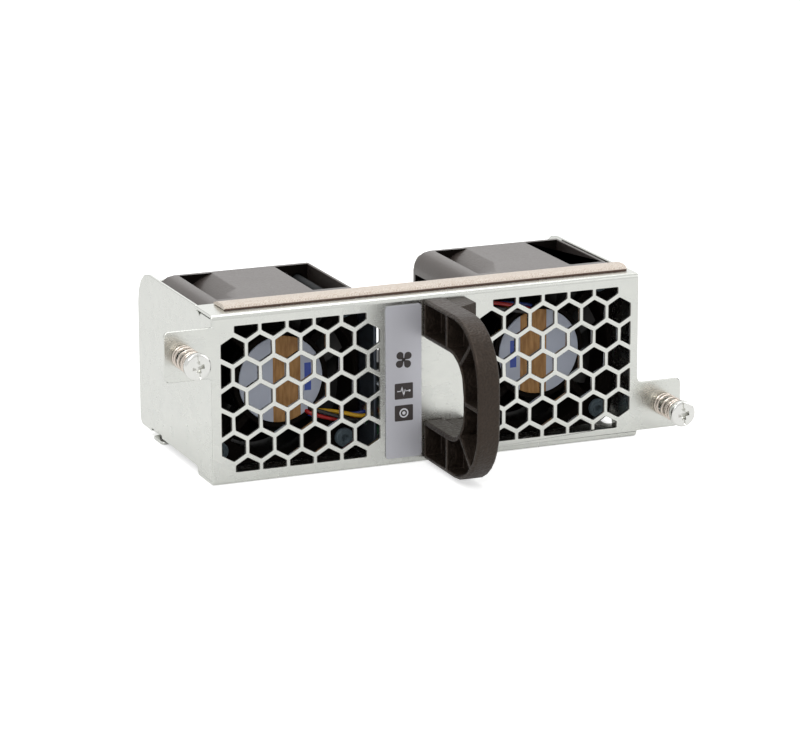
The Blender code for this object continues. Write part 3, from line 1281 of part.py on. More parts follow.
def build_captive_screw(side_name, x, z):
    """One captive screw with its coil spring and the ring behind the ear that keeps it captive."""
    head = -CAPTIVE_STANDOFF
    under = head + CAPTIVE_HEAD
    barrel_end = -CAPTIVE_TRAVEL - 2 * SEAT
    ring_front = SHEET + THIN_SEAT
    ring_rear = ring_front + RING_SHEET
    tip = SHEET + CAPTIVE_TIP
    soft = CAPTIVE_EDGE
    screw = turned(f"captive_screw_{side_name}", [
        (0.0, head), (CAPTIVE_HEAD_R - soft, head), (CAPTIVE_HEAD_R, head + soft),
        (CAPTIVE_HEAD_R, under - soft), (CAPTIVE_HEAD_R - soft, under), (CAPTIVE_BARREL_R, under),
        (CAPTIVE_BARREL_R, barrel_end),
        (CAPTIVE_SHANK_R, barrel_end + soft), (CAPTIVE_SHANK_R, ring_front - THIN_SEAT / 2),
        (CAPTIVE_NECK_R, ring_front - THIN_SEAT / 2), (CAPTIVE_NECK_R, ring_rear + THIN_SEAT / 2),
        (CAPTIVE_SHANK_R, ring_rear + THIN_SEAT / 2), (CAPTIVE_SHANK_R, tip - CAPTIVE_SHANK_R / 2),
        (CAPTIVE_SHANK_R / 2, tip), (0.0, tip)], x, z, "steel", 16, False)
    recess = prism("cross", turned_box(x, z, RECESS_LENGTH, RECESS_SLOT, 35), "Y", head - OVER,
                   head + RECESS_DEPTH)
    join(recess, prism("bar", turned_box(x, z, RECESS_LENGTH, RECESS_SLOT, 125), "Y", head - OVER,
                       head + RECESS_DEPTH * 0.9))
    boolean(screw, recess)
    smooth(screw)

    start = -THIN_SEAT - SPRING_WIRE
    end = under + THIN_SEAT + SPRING_WIRE
    per_turn = 12
    steps = SPRING_TURNS * per_turn
    coil = []
    for i in range(steps + 1):
        share = i / steps
        ease = (share * SPRING_TURNS - CLOSED_TURNS) / (SPRING_TURNS - 2 * CLOSED_TURNS)
        ease = max(0.0, min(1.0, ease))
        angle = 2 * math.pi * share * SPRING_TURNS
        y = start + (end - start) * (CLOSED_SHARE * share + (1 - CLOSED_SHARE) * ease)
        coil.append(Vector((x + SPRING_R * math.cos(angle), y, z + SPRING_R * math.sin(angle))))
    tube(f"captive_spring_{side_name}", coil, SPRING_WIRE, "spring", 0)

    ring = snap_ring(x, z, RING_R, CAPTIVE_NECK_R + CLIP_PLAY, RING_GAP)
    return smooth(prism(f"captive_ring_{side_name}", ring, "Y", ring_front, ring_rear, "steel"))


def build():
    """Clear the scene and build every piece."""
    for obj in list(bpy.data.objects):
        bpy.data.objects.remove(obj, do_unlink=True)
    build_tray_body()
    build_label_plate()
    build_handle()
    build_handle_screws()
    build_gasket()
    build_centre_bracket()
    build_rear_frame()
    build_rivets()
    build_fan_board()
    build_light_guide()
    build_rear_connector()
    for side_name, side in SIDES.items():
        x = side * FAN_X
        build_fan_housing(side_name, x)
        build_hub_label(side_name, x)
        build_motor(side_name, x)
        build_rotor(side_name, x)
        build_fan_pins(side_name, x)
        build_lead(side_name, side)
    for side_name, x, z in captive_places():
        build_captive_screw(side_name, x, z)


build()
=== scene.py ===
"""Looks of the switch fan tray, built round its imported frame.

Lengths are in metres. Object coordinates are the frame's own: +X right, +Y into the switch, +Z up.
"""

import logging
import math
from dataclasses import dataclass
from enum import Enum
from typing import Callable, Iterable, Optional, Sequence

import bmesh
import bpy
from mathutils import Matrix, Vector

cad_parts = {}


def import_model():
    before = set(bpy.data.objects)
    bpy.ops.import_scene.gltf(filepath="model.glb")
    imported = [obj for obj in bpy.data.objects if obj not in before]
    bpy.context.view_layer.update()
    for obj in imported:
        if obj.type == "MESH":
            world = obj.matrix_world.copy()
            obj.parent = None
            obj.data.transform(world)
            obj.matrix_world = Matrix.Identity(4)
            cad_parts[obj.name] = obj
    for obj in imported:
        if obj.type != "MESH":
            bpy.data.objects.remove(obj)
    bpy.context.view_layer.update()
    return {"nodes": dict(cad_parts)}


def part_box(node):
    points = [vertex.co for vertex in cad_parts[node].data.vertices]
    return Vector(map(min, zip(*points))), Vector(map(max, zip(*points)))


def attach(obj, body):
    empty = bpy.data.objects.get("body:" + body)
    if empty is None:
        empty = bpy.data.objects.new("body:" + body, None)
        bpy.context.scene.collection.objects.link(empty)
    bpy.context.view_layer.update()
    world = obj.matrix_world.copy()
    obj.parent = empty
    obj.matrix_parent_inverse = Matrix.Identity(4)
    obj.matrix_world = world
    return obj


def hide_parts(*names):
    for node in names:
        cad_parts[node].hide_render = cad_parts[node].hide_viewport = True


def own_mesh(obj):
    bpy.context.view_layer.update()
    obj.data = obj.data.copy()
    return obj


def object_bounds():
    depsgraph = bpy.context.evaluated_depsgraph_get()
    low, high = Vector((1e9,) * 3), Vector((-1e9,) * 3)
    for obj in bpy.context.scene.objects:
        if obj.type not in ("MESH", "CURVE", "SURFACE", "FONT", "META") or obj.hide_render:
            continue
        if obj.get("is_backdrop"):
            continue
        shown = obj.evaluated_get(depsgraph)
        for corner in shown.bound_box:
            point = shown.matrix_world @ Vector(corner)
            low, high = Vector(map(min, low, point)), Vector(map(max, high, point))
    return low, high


MM = 0.001
LEVEL = 0.9999  # a unit normal's part along an axis, above which its face is level
QUARTER = math.pi / 2
LOG = logging.getLogger("fan_tray")

Rgb = tuple[float, float, float]
Point = tuple[float, float, float]
Flat = tuple[float, float]
Socket = bpy.types.NodeSocket


class Side(Enum):
    """The tray's two sides, each with its sign along X."""

    LEFT = -1
    RIGHT = 1

    @property
    def word(self) -> str:
        """The side's name in the frame's node names."""
        return self.name.lower()


class Grain(Enum):
    """The kinds of fine surface structure that the finishes use."""

    ROLLED = "rolled sheet"
    MOULDED = "moulded plastic"
    WOVEN = "woven cloth"
    FOAM = "open foam"
    TURNED = "turned metal"
    FILM = "printed film"
    LAMINATE = "board laminate"


def linear(colour: Rgb) -> tuple[float, float, float, float]:
    """Turn a display colour of 0 to 255 into a shader colour.

    Args:
        colour: Red, green and blue as a screen shows them.

    Returns:
        The same colour in linear light, with full alpha.
    """
    parts = []
    for value in colour:
        share = value / 255.0
        parts.append(share / 12.92 if share <= 0.04045 else ((share + 0.055) / 1.055) ** 2.4)
    return (*parts, 1.0)


def linked(name: str, data: bpy.types.ID) -> bpy.types.Object:
    """Make an object and put it in the scene.

    Args:
        name: The object's name.
        data: Its mesh, curve, camera or light.

    Returns:
        The new object, at the origin.
    """
    obj = bpy.data.objects.new(name, data)
    bpy.context.scene.collection.objects.link(obj)
    return obj


def axis_of(low: Vector, high: Vector) -> Flat:
    """The x and z of the line along Y through a box's middle."""
    return (low.x + high.x) / 2, (low.z + high.z) / 2


class Graph:
    """Short calls for building a node tree."""

    def __init__(self, tree: bpy.types.NodeTree) -> None:
        """Work on one tree.

        Args:
            tree: The shader or geometry tree.
        """
        self.tree = tree

    def add(self, kind: str, **settings: object) -> bpy.types.Node:
        """Add a node and set its properties.

        Args:
            kind: The node's type name.
            settings: Property names and values.

        Returns:
            The new node.
        """
        node = self.tree.nodes.new(kind)
        for name, value in settings.items():
            setattr(node, name, value)
        return node

    def feed(self, socket: Socket, value: object) -> None:
        """Link a socket to another one, or set its value."""
        if isinstance(value, bpy.types.NodeSocket):
            self.tree.links.new(value, socket)
        else:
            socket.default_value = value

    def maths(self, operation: str, first: object, second: object = 0.0, clamp: bool = False) -> Socket:
        """Add a Math node.

        Args:
            operation: The node's operation.
            first: A number or a socket.
            second: A number or a socket.
            clamp: Whether to keep the result between 0 and 1.

        Returns:
            The result's socket.
        """
        node = self.add("ShaderNodeMath", operation=operation, use_clamp=clamp)
        self.feed(node.inputs[0], first)
        self.feed(node.inputs[1], second)
        return node.outputs[0]

    def weighted(self, first: object, share: float, second: object, other: float) -> Socket:
        """Add two values, each times its own weight."""
        return self.maths("ADD", self.maths("MULTIPLY", first, share), self.maths("MULTIPLY", second, other))

    def ramp(self, value: object, low: float, high: float, out_low: float = 0.0,
             out_high: float = 1.0) -> Socket:
        """Map a value from one range to another, held at its ends."""
        node = self.add("ShaderNodeMapRange")
        self.feed(node.inputs["Value"], value)
        for name, number in (("From Min", low), ("From Max", high), ("To Min", out_low),
                             ("To Max", out_high)):
            node.inputs[name].default_value = number
        return node.outputs["Result"]

    def blend(self, share: object, first: object, second: object) -> Socket:
        """Mix two colours by a share."""
        node = self.add("ShaderNodeMix", data_type="RGBA")
        self.feed(node.inputs[0], share)
        self.feed(node.inputs[6], first)
        self.feed(node.inputs[7], second)
        return node.outputs[2]


def new_material(name: str) -> tuple[bpy.types.Material, Graph, bpy.types.Node]:
    """Make a material with nodes.

    Args:
        name: Its name.

    Returns:
        The material, its graph and its Principled shader.
    """
    made = bpy.data.materials.new(name)
    made.use_nodes = True
    return made, Graph(made.node_tree), made.node_tree.nodes["Principled BSDF"]


class EffectLibrary:
    """Shader node groups that several materials share. Each is built once."""

    def __init__(self) -> None:
        """Start with no group built."""
        self._built: dict[str, bpy.types.NodeTree] = {}

    def get(self, name: str, make: Callable[[str], bpy.types.NodeTree]) -> bpy.types.NodeTree:
        """Return a group, building it on first use."""
        if name not in self._built:
            self._built[name] = make(name)
        return self._built[name]

    @staticmethod
    def _start(name: str, inputs: Sequence[tuple[str, float]],
               outputs: Sequence[str]) -> tuple[Graph, bpy.types.Node, bpy.types.Node]:
        """Make an empty group with float sockets."""
        tree = bpy.data.node_groups.new(name, "ShaderNodeTree")
        for label, value in inputs:
            socket = tree.interface.new_socket(label, in_out="INPUT", socket_type="NodeSocketFloat")
            socket.default_value = value
        for label in outputs:
            tree.interface.new_socket(label, in_out="OUTPUT", socket_type="NodeSocketFloat")
        graph = Graph(tree)
        return graph, graph.add("NodeGroupInput"), graph.add("NodeGroupOutput")

    @staticmethod
    def _place(graph: Graph, scale: Point, factor: Optional[Socket] = None) -> Socket:
        """Object coordinates, stretched along each axis and by one common factor."""
        coordinates = graph.add("ShaderNodeTexCoord").outputs["Object"]
        stretch = graph.add("ShaderNodeVectorMath", operation="MULTIPLY")
        graph.feed(stretch.inputs[0], coordinates)
        stretch.inputs[1].default_value = scale
        if factor is None:
            return stretch.outputs[0]
        grow = graph.add("ShaderNodeVectorMath", operation="SCALE")
        graph.feed(grow.inputs[0], stretch.outputs[0])
        graph.feed(grow.inputs["Scale"], factor)
        return grow.outputs[0]

    def _even(self, graph: Graph, per_metre: float) -> Socket:
        """Object coordinates, scaled by one number."""
        return self._place(graph, (per_metre, per_metre, per_metre))

    @staticmethod
    def _noise(graph: Graph, place: Socket, scale: float, detail: float = 3.0,
               roughness: float = 0.55) -> Socket:
        """A noise value at a place."""
        node = graph.add("ShaderNodeTexNoise")
        graph.feed(node.inputs["Vector"], place)
        node.inputs["Scale"].default_value = scale
        node.inputs["Detail"].default_value = detail
        node.inputs["Roughness"].default_value = roughness
        return node.outputs["Fac"]

    @staticmethod
    def _cells(graph: Graph, place: Socket, scale: float, feature: str = "F1") -> bpy.types.Node:
        """A Voronoi texture at a place."""
        node = graph.add("ShaderNodeTexVoronoi", feature=feature)
        graph.feed(node.inputs["Vector"], place)
        node.inputs["Scale"].default_value = scale
        return node

    def grain(self, kind: Grain) -> bpy.types.NodeTree:
        """The group of one kind of grain: Size in metres gives Mask and Height."""
        makers = {
            Grain.ROLLED: self._rolled, Grain.MOULDED: self._moulded, Grain.WOVEN: self._woven,
            Grain.FOAM: self._foam, Grain.TURNED: self._turned, Grain.FILM: self._film,
            Grain.LAMINATE: self._laminate,
        }
        return self.get(f"grain_{kind.name.lower()}", makers[kind])

    def _begin_grain(self, name: str, stretch: Point = (1.0, 1.0, 1.0)) -> tuple:
        """A grain group's sockets and its place, in grains."""
        graph, given, result = self._start(name, [("Size", 0.3 * MM)], ["Mask", "Height"])
        per_metre = graph.maths("DIVIDE", 1.0, given.outputs["Size"])
        return graph, result, self._place(graph, stretch, per_metre)

    def _rolled(self, name: str) -> bpy.types.NodeTree:
        """Zinc on rolled sheet: faint streaks along the sheet and small crystal patches."""
        graph, result, place = self._begin_grain(name, (0.12, 0.6, 1.0))
        streak = self._noise(graph, place, 1.0, 4.0, 0.6)
        patch = graph.add("ShaderNodeRGBToBW")
        graph.feed(patch.inputs[0], self._cells(graph, self._even(graph, 420.0), 1.0).outputs["Color"])
        speck = self._noise(graph, self._even(graph, 5200.0), 1.0, 2.0)
        mixed = graph.weighted(streak, 0.65, patch.outputs[0], 0.35)
        graph.feed(result.inputs["Mask"], graph.maths("MULTIPLY", mixed, 1.0, clamp=True))
        graph.feed(result.inputs["Height"], graph.weighted(streak, 0.4, speck, 0.6))
        return graph.tree

    def _moulded(self, name: str) -> bpy.types.NodeTree:
        """Spark-eroded mould texture: small round bumps with softer waves under them."""
        graph, result, place = self._begin_grain(name)
        bumps = self._cells(graph, place, 1.0, "SMOOTH_F1").outputs["Distance"]
        soft = self._noise(graph, place, 0.35, 2.0)
        height = graph.weighted(bumps, 0.7, soft, 0.5)
        graph.feed(result.inputs["Height"], height)
        graph.feed(result.inputs["Mask"], graph.ramp(height, 0.2, 0.9))
        return graph.tree

    def _woven(self, name: str) -> bpy.types.NodeTree:
        """Plain weave, threads along X and across, under a nap of loose fibres."""
        graph, result, place = self._begin_grain(name)
        split = graph.add("ShaderNodeSeparateXYZ")
        graph.feed(split.inputs[0], place)
        warp, weft = (graph.maths("SINE", graph.maths("MULTIPLY", split.outputs[axis], math.pi))
                      for axis in ("X", "Y"))
        checker = graph.maths("MULTIPLY", warp, weft)
        height = graph.weighted(checker, 0.16, self._noise(graph, place, 0.9), 1.1)
        graph.feed(result.inputs["Height"], height)
        graph.feed(result.inputs["Mask"], graph.ramp(height, 0.3, 0.8))
        return graph.tree

    def _foam(self, name: str) -> bpy.types.NodeTree:
        """Open cells in foam."""
        graph, result, place = self._begin_grain(name)
        cells = self._cells(graph, place, 1.0).outputs["Distance"]
        graph.feed(result.inputs["Height"], cells)
        graph.feed(result.inputs["Mask"], graph.ramp(cells, 0.1, 0.7))
        return graph.tree

    def _turned(self, name: str) -> bpy.types.NodeTree:
        """Fine lathe lines across Y, with plating that pools a little."""
        graph, result, place = self._begin_grain(name, (0.25, 1.6, 0.25))
        lines = self._noise(graph, place, 1.0)
        pools = self._noise(graph, self._even(graph, 900.0), 1.0, 2.0)
        graph.feed(result.inputs["Height"], lines)
        graph.feed(result.inputs["Mask"], graph.maths("MULTIPLY", lines, pools, clamp=True))
        return graph.tree

    def _film(self, name: str) -> bpy.types.NodeTree:
        """Satin film: very fine even grain with a slow wave."""
        graph, result, place = self._begin_grain(name)
        fine = self._noise(graph, place, 1.0, 2.0)
        slow = self._noise(graph, self._even(graph, 70.0), 1.0, 1.0)
        graph.feed(result.inputs["Height"], fine)
        graph.feed(result.inputs["Mask"], graph.weighted(fine, 0.4, slow, 0.6))
        return graph.tree

    def _laminate(self, name: str) -> bpy.types.NodeTree:
        """Solder mask over copper: square-cornered tracks stand out a little."""
        graph, result, place = self._begin_grain(name, (1.0, 0.35, 1.0))
        tracks = self._cells(graph, place, 1.0)
        tracks.distance = "CHEBYCHEV"
        edges = graph.ramp(tracks.outputs["Distance"], 0.28, 0.34)
        weave = self._noise(graph, self._even(graph, 3000.0), 1.0, 2.0)
        graph.feed(result.inputs["Mask"], edges)
        graph.feed(result.inputs["Height"], graph.maths("ADD", edges, graph.maths("MULTIPLY", weave, 0.3)))
        return graph.tree

    def wear(self) -> bpy.types.NodeTree:
        """Where corners are rubbed: Width in metres gives Mask, broken up by noise."""
        def make(name: str) -> bpy.types.NodeTree:
            graph, given, result = self._start(name, [("Width", 0.2 * MM)], ["Mask"])
            rounded = graph.add("ShaderNodeBevel", samples=4)
            graph.feed(rounded.inputs["Radius"], given.outputs["Width"])
            plain = graph.add("ShaderNodeNewGeometry").outputs["Normal"]
            dot = graph.add("ShaderNodeVectorMath", operation="DOT_PRODUCT")
            graph.feed(dot.inputs[0], rounded.outputs[0])
            graph.feed(dot.inputs[1], plain)
            bent = graph.maths("SUBTRACT", 1.0, dot.outputs["Value"])
            patch = self._noise(graph, self._even(graph, 700.0), 1.0)
            graph.feed(result.inputs["Mask"], graph.maths(
                "MULTIPLY", graph.ramp(bent, 0.02, 0.2), graph.ramp(patch, 0.35, 0.6), clamp=True))
            return graph.tree

        return self.get("rubbed_edges", make)

    def handling(self) -> bpy.types.NodeTree:
        """Slow cloudy marks of handling and dust: Scale per metre gives Mask."""
        def make(name: str) -> bpy.types.NodeTree:
            graph, given, result = self._start(name, [("Scale", 60.0)], ["Mask"])
            place = self._place(graph, (1.0, 1.0, 1.0), given.outputs["Scale"])
            cloud = self._noise(graph, place, 1.0, 4.0, 0.6)
            graph.feed(result.inputs["Mask"], graph.ramp(cloud, 0.35, 0.7))
            return graph.tree

        return self.get("handling_marks", make)


EFFECTS = EffectLibrary()


@dataclass(frozen=True)
class Finish:
    """One surface finish: two colours that its grain mixes, gloss, grain and rubbed edges."""

    name: str
    colour: Rgb
    shade: Rgb
    roughness: Flat
    grain: Grain
    size: float = 0.3 * MM
    relief: float = 0.02 * MM
    metallic: float = 0.0
    contrast: float = 0.5
    worn: Optional[Rgb] = None
    wear_width: float = 0.15 * MM
    cloud: float = 0.3
    coat: float = 0.0
    sheen: float = 0.0
    transmission: float = 0.0
    specular: float = 0.5
    tint: Rgb = (255, 255, 255)

    def material(self) -> bpy.types.Material:
        """Build the material on first use.

        Returns:
            The finish's material.
        """
        found = bpy.data.materials.get(self.name)
        if found is not None:
            return found
        made, graph, shader = new_material(self.name)
        grain = graph.add("ShaderNodeGroup", node_tree=EFFECTS.grain(self.grain))
        grain.inputs["Size"].default_value = self.size
        marks = graph.add("ShaderNodeGroup", node_tree=EFFECTS.handling())
        share = graph.maths("MULTIPLY", grain.outputs["Mask"], self.contrast, clamp=True)
        colour = graph.blend(share, linear(self.colour), linear(self.shade))
        low, high = self.roughness
        clouded = graph.maths("MULTIPLY", marks.outputs["Mask"], self.cloud)
        rough_share = graph.maths("ADD", graph.maths("MULTIPLY", grain.outputs["Mask"], 1.0 - self.cloud),
                                  clouded, clamp=True)
        gloss = graph.ramp(rough_share, 0.0, 1.0, low, high)
        if self.worn is not None:
            wear = graph.add("ShaderNodeGroup", node_tree=EFFECTS.wear())
            wear.inputs["Width"].default_value = self.wear_width
            colour = graph.blend(wear.outputs["Mask"], colour, linear(self.worn))
        self._dress(graph, shader, colour, gloss, grain.outputs["Height"])
        return made

    def _dress(self, graph: Graph, shader: bpy.types.Node, colour: Socket, gloss: Socket,
               height: Socket) -> None:
        """Join the colours and values to the shader.

        Args:
            graph: The material's tree.
            shader: Its Principled shader.
            colour: The mixed colour.
            gloss: The roughness.
            height: The grain's height.
        """
        for name, value in (("Base Color", colour), ("Roughness", gloss), ("Metallic", self.metallic),
                            ("Coat Weight", self.coat), ("Coat Roughness", 0.2),
                            ("Sheen Weight", self.sheen), ("Transmission Weight", self.transmission),
                            ("Specular IOR Level", self.specular), ("Specular Tint", linear(self.tint))):
            graph.feed(shader.inputs[name], value)
        bump = graph.add("ShaderNodeBump")
        bump.inputs["Strength"].default_value = 0.6
        bump.inputs["Distance"].default_value = self.relief
        graph.feed(bump.inputs["Height"], height)
        graph.feed(shader.inputs["Normal"], bump.outputs["Normal"])


ZINC = Finish("zinc_sheet", (219, 220, 214), (196, 199, 196), (0.2, 0.34), Grain.ROLLED, 0.5 * MM,
              0.006 * MM, 1.0, 0.5, (228, 228, 224), 0.1 * MM)
# Darker grey on the holes' front edges: the colour of bare steel, with painted shade of the rolled edge in
# it.
CUT_EDGE_AND_SHADE = Finish("cut_edge_and_painted_shade", (112, 110, 106), (84, 83, 79), (0.45, 0.6), Grain.TURNED, 0.25 * MM,
                  0.01 * MM, 0.0, 0.8, specular=0.3)
# A dark blue-grey copy of the zinc: painted shade on the centre bracket, which lies in the tray's shadow.
ZINC_PAINTED_SHADE = Finish("zinc_sheet_painted_shade", (92, 98, 108), (70, 76, 86), (0.3, 0.5), Grain.ROLLED, 0.5 * MM,
                   0.01 * MM, 0.8, 0.5, (120, 126, 134))
NYLON = Finish("handle_nylon", (5, 4, 3), (40, 32, 26), (0.3, 0.6), Grain.MOULDED, 0.5 * MM,
               0.3 * MM, 0.0, 1.0, (58, 50, 44), 0.25 * MM, specular=0.5, tint=(255, 234, 218))
FAN_PLASTIC = Finish("fan_plastic", (20, 16, 15), (50, 42, 38), (0.38, 0.54), Grain.MOULDED, 0.4 * MM,
                     0.1 * MM, 0.0, 0.6, (58, 51, 47), 0.2 * MM, coat=0.45, specular=1.0,
                     tint=(255, 240, 230))
# A darker copy of the fan plastic: painted shade for the bore and the faces that look forward; also rougher
# and less glossy.
FAN_PLASTIC_PAINTED_SHADE = Finish("fan_plastic_painted_shade", (10, 8, 7), (20, 16, 14), (0.6, 0.75), Grain.MOULDED, 0.4 * MM,
                    0.04 * MM, 0.0, 0.5, specular=0.06, tint=(255, 240, 230))
BLADE_PLASTIC = Finish("blade_plastic", (13, 11, 11), (24, 21, 20), (0.3, 0.42), Grain.MOULDED,
                       0.25 * MM, 0.006 * MM, 0.0, 0.3, specular=0.35)
CLOTH = Finish("gasket_cloth", (246, 238, 228), (196, 176, 158), (0.55, 0.8), Grain.WOVEN, 0.34 * MM,
               0.08 * MM, 0.0, 1.0, sheen=0.2)
# A thin dark brown strip along the sleeve's front foot.
GASKET_DARK_STRIP = Finish("gasket_dark_line", (96, 72, 60), (70, 52, 44), (0.6, 0.85), Grain.WOVEN, 0.28 * MM,
                    0.04 * MM, 0.0, 0.6)
FOAM = Finish("gasket_foam", (72, 60, 50), (38, 31, 26), (0.8, 0.95), Grain.FOAM, 0.35 * MM,
              0.12 * MM, 0.0, 0.8)
LABEL_FILM = Finish("label_film", (208, 208, 214), (192, 193, 201), (0.3, 0.42), Grain.FILM,
                    0.12 * MM, 0.004 * MM, 0.25, 0.6)
PRINT_DARK = Finish("label_print", (52, 46, 45), (62, 55, 54), (0.4, 0.5), Grain.FILM, 0.12 * MM,
                    0.004 * MM)
PRINT_PALE = Finish("label_symbol", (226, 226, 230), (208, 208, 214), (0.4, 0.5), Grain.FILM,
                    0.12 * MM, 0.004 * MM)
RUBBER = Finish("pin_rubber", (92, 106, 114), (66, 78, 86), (0.5, 0.7), Grain.MOULDED, 0.4 * MM,
                0.02 * MM, 0.0, 0.5)
# A near-black copy of the pin rubber: painted shade on the shank, which sits in the fan's shadowed pocket.
RUBBER_PAINTED_SHADE = Finish("pin_shank_painted_shade", (24, 27, 29), (16, 18, 20), (0.6, 0.75), Grain.MOULDED, 0.4 * MM,
                      0.02 * MM, 0.0, 0.5, specular=0.3)
NICKEL = Finish("screw_nickel", (226, 226, 222), (198, 199, 197), (0.14, 0.3), Grain.TURNED,
                0.12 * MM, 0.006 * MM, 1.0, 0.5, (240, 240, 238), 0.1 * MM)
SPRING = Finish("spring_wire", (220, 210, 200), (158, 146, 136), (0.14, 0.28), Grain.TURNED,
                0.2 * MM, 0.004 * MM, 1.0, 0.5)
MASK_GREEN = Finish("board_mask", (28, 92, 52), (40, 116, 68), (0.3, 0.42), Grain.LAMINATE,
                    1.6 * MM, 0.02 * MM, 0.0, 0.8, coat=0.3)
CHIP = Finish("chip_body", (38, 37, 38), (52, 50, 52), (0.45, 0.6), Grain.MOULDED, 0.1 * MM, 0.01 * MM)
SOLDER = Finish("solder_tin", (206, 206, 204), (180, 181, 182), (0.2, 0.36), Grain.TURNED,
                0.15 * MM, 0.008 * MM, 1.0)
GOLD = Finish("contact_gold", (226, 186, 96), (204, 160, 72), (0.16, 0.28), Grain.TURNED, 0.12 * MM,
              0.004 * MM, 1.0)
SOCKET = Finish("socket_body", (44, 44, 48), (58, 57, 60), (0.4, 0.55), Grain.MOULDED, 0.2 * MM,
                0.01 * MM, 0.0, 0.4, (84, 82, 84))
IVORY = Finish("plug_nylon", (226, 218, 200), (208, 199, 180), (0.35, 0.5), Grain.MOULDED,
               0.25 * MM, 0.01 * MM, 0.0, 0.4)
LAMINATION = Finish("stator_core", (96, 84, 78), (128, 114, 104), (0.35, 0.5), Grain.TURNED,
                    0.35 * MM, 0.02 * MM, 0.6)
MAGNET = Finish("magnet_cup", (62, 60, 60), (84, 82, 80), (0.4, 0.55), Grain.TURNED, 0.4 * MM,
                0.01 * MM, 0.5)
ACRYLIC = Finish("guide_acrylic", (128, 132, 136), (112, 117, 122), (0.06, 0.14), Grain.FILM,
                 0.5 * MM, 0.004 * MM, transmission=0.9)
WIRES = {
    "yellow": Finish("wire_yellow", (222, 172, 30), (200, 150, 22), (0.3, 0.42), Grain.FILM,
                     0.4 * MM, 0.01 * MM, coat=0.2),
    "blue": Finish("wire_blue", (30, 52, 130), (22, 40, 108), (0.3, 0.42), Grain.FILM, 0.4 * MM,
                   0.01 * MM, coat=0.2),
    "red": Finish("wire_red", (178, 26, 26), (150, 18, 18), (0.3, 0.42), Grain.FILM, 0.4 * MM,
                  0.01 * MM, coat=0.2),
    "black": Finish("wire_black", (30, 28, 28), (42, 39, 38), (0.3, 0.45), Grain.FILM, 0.4 * MM,
                    0.01 * MM, coat=0.2),
}


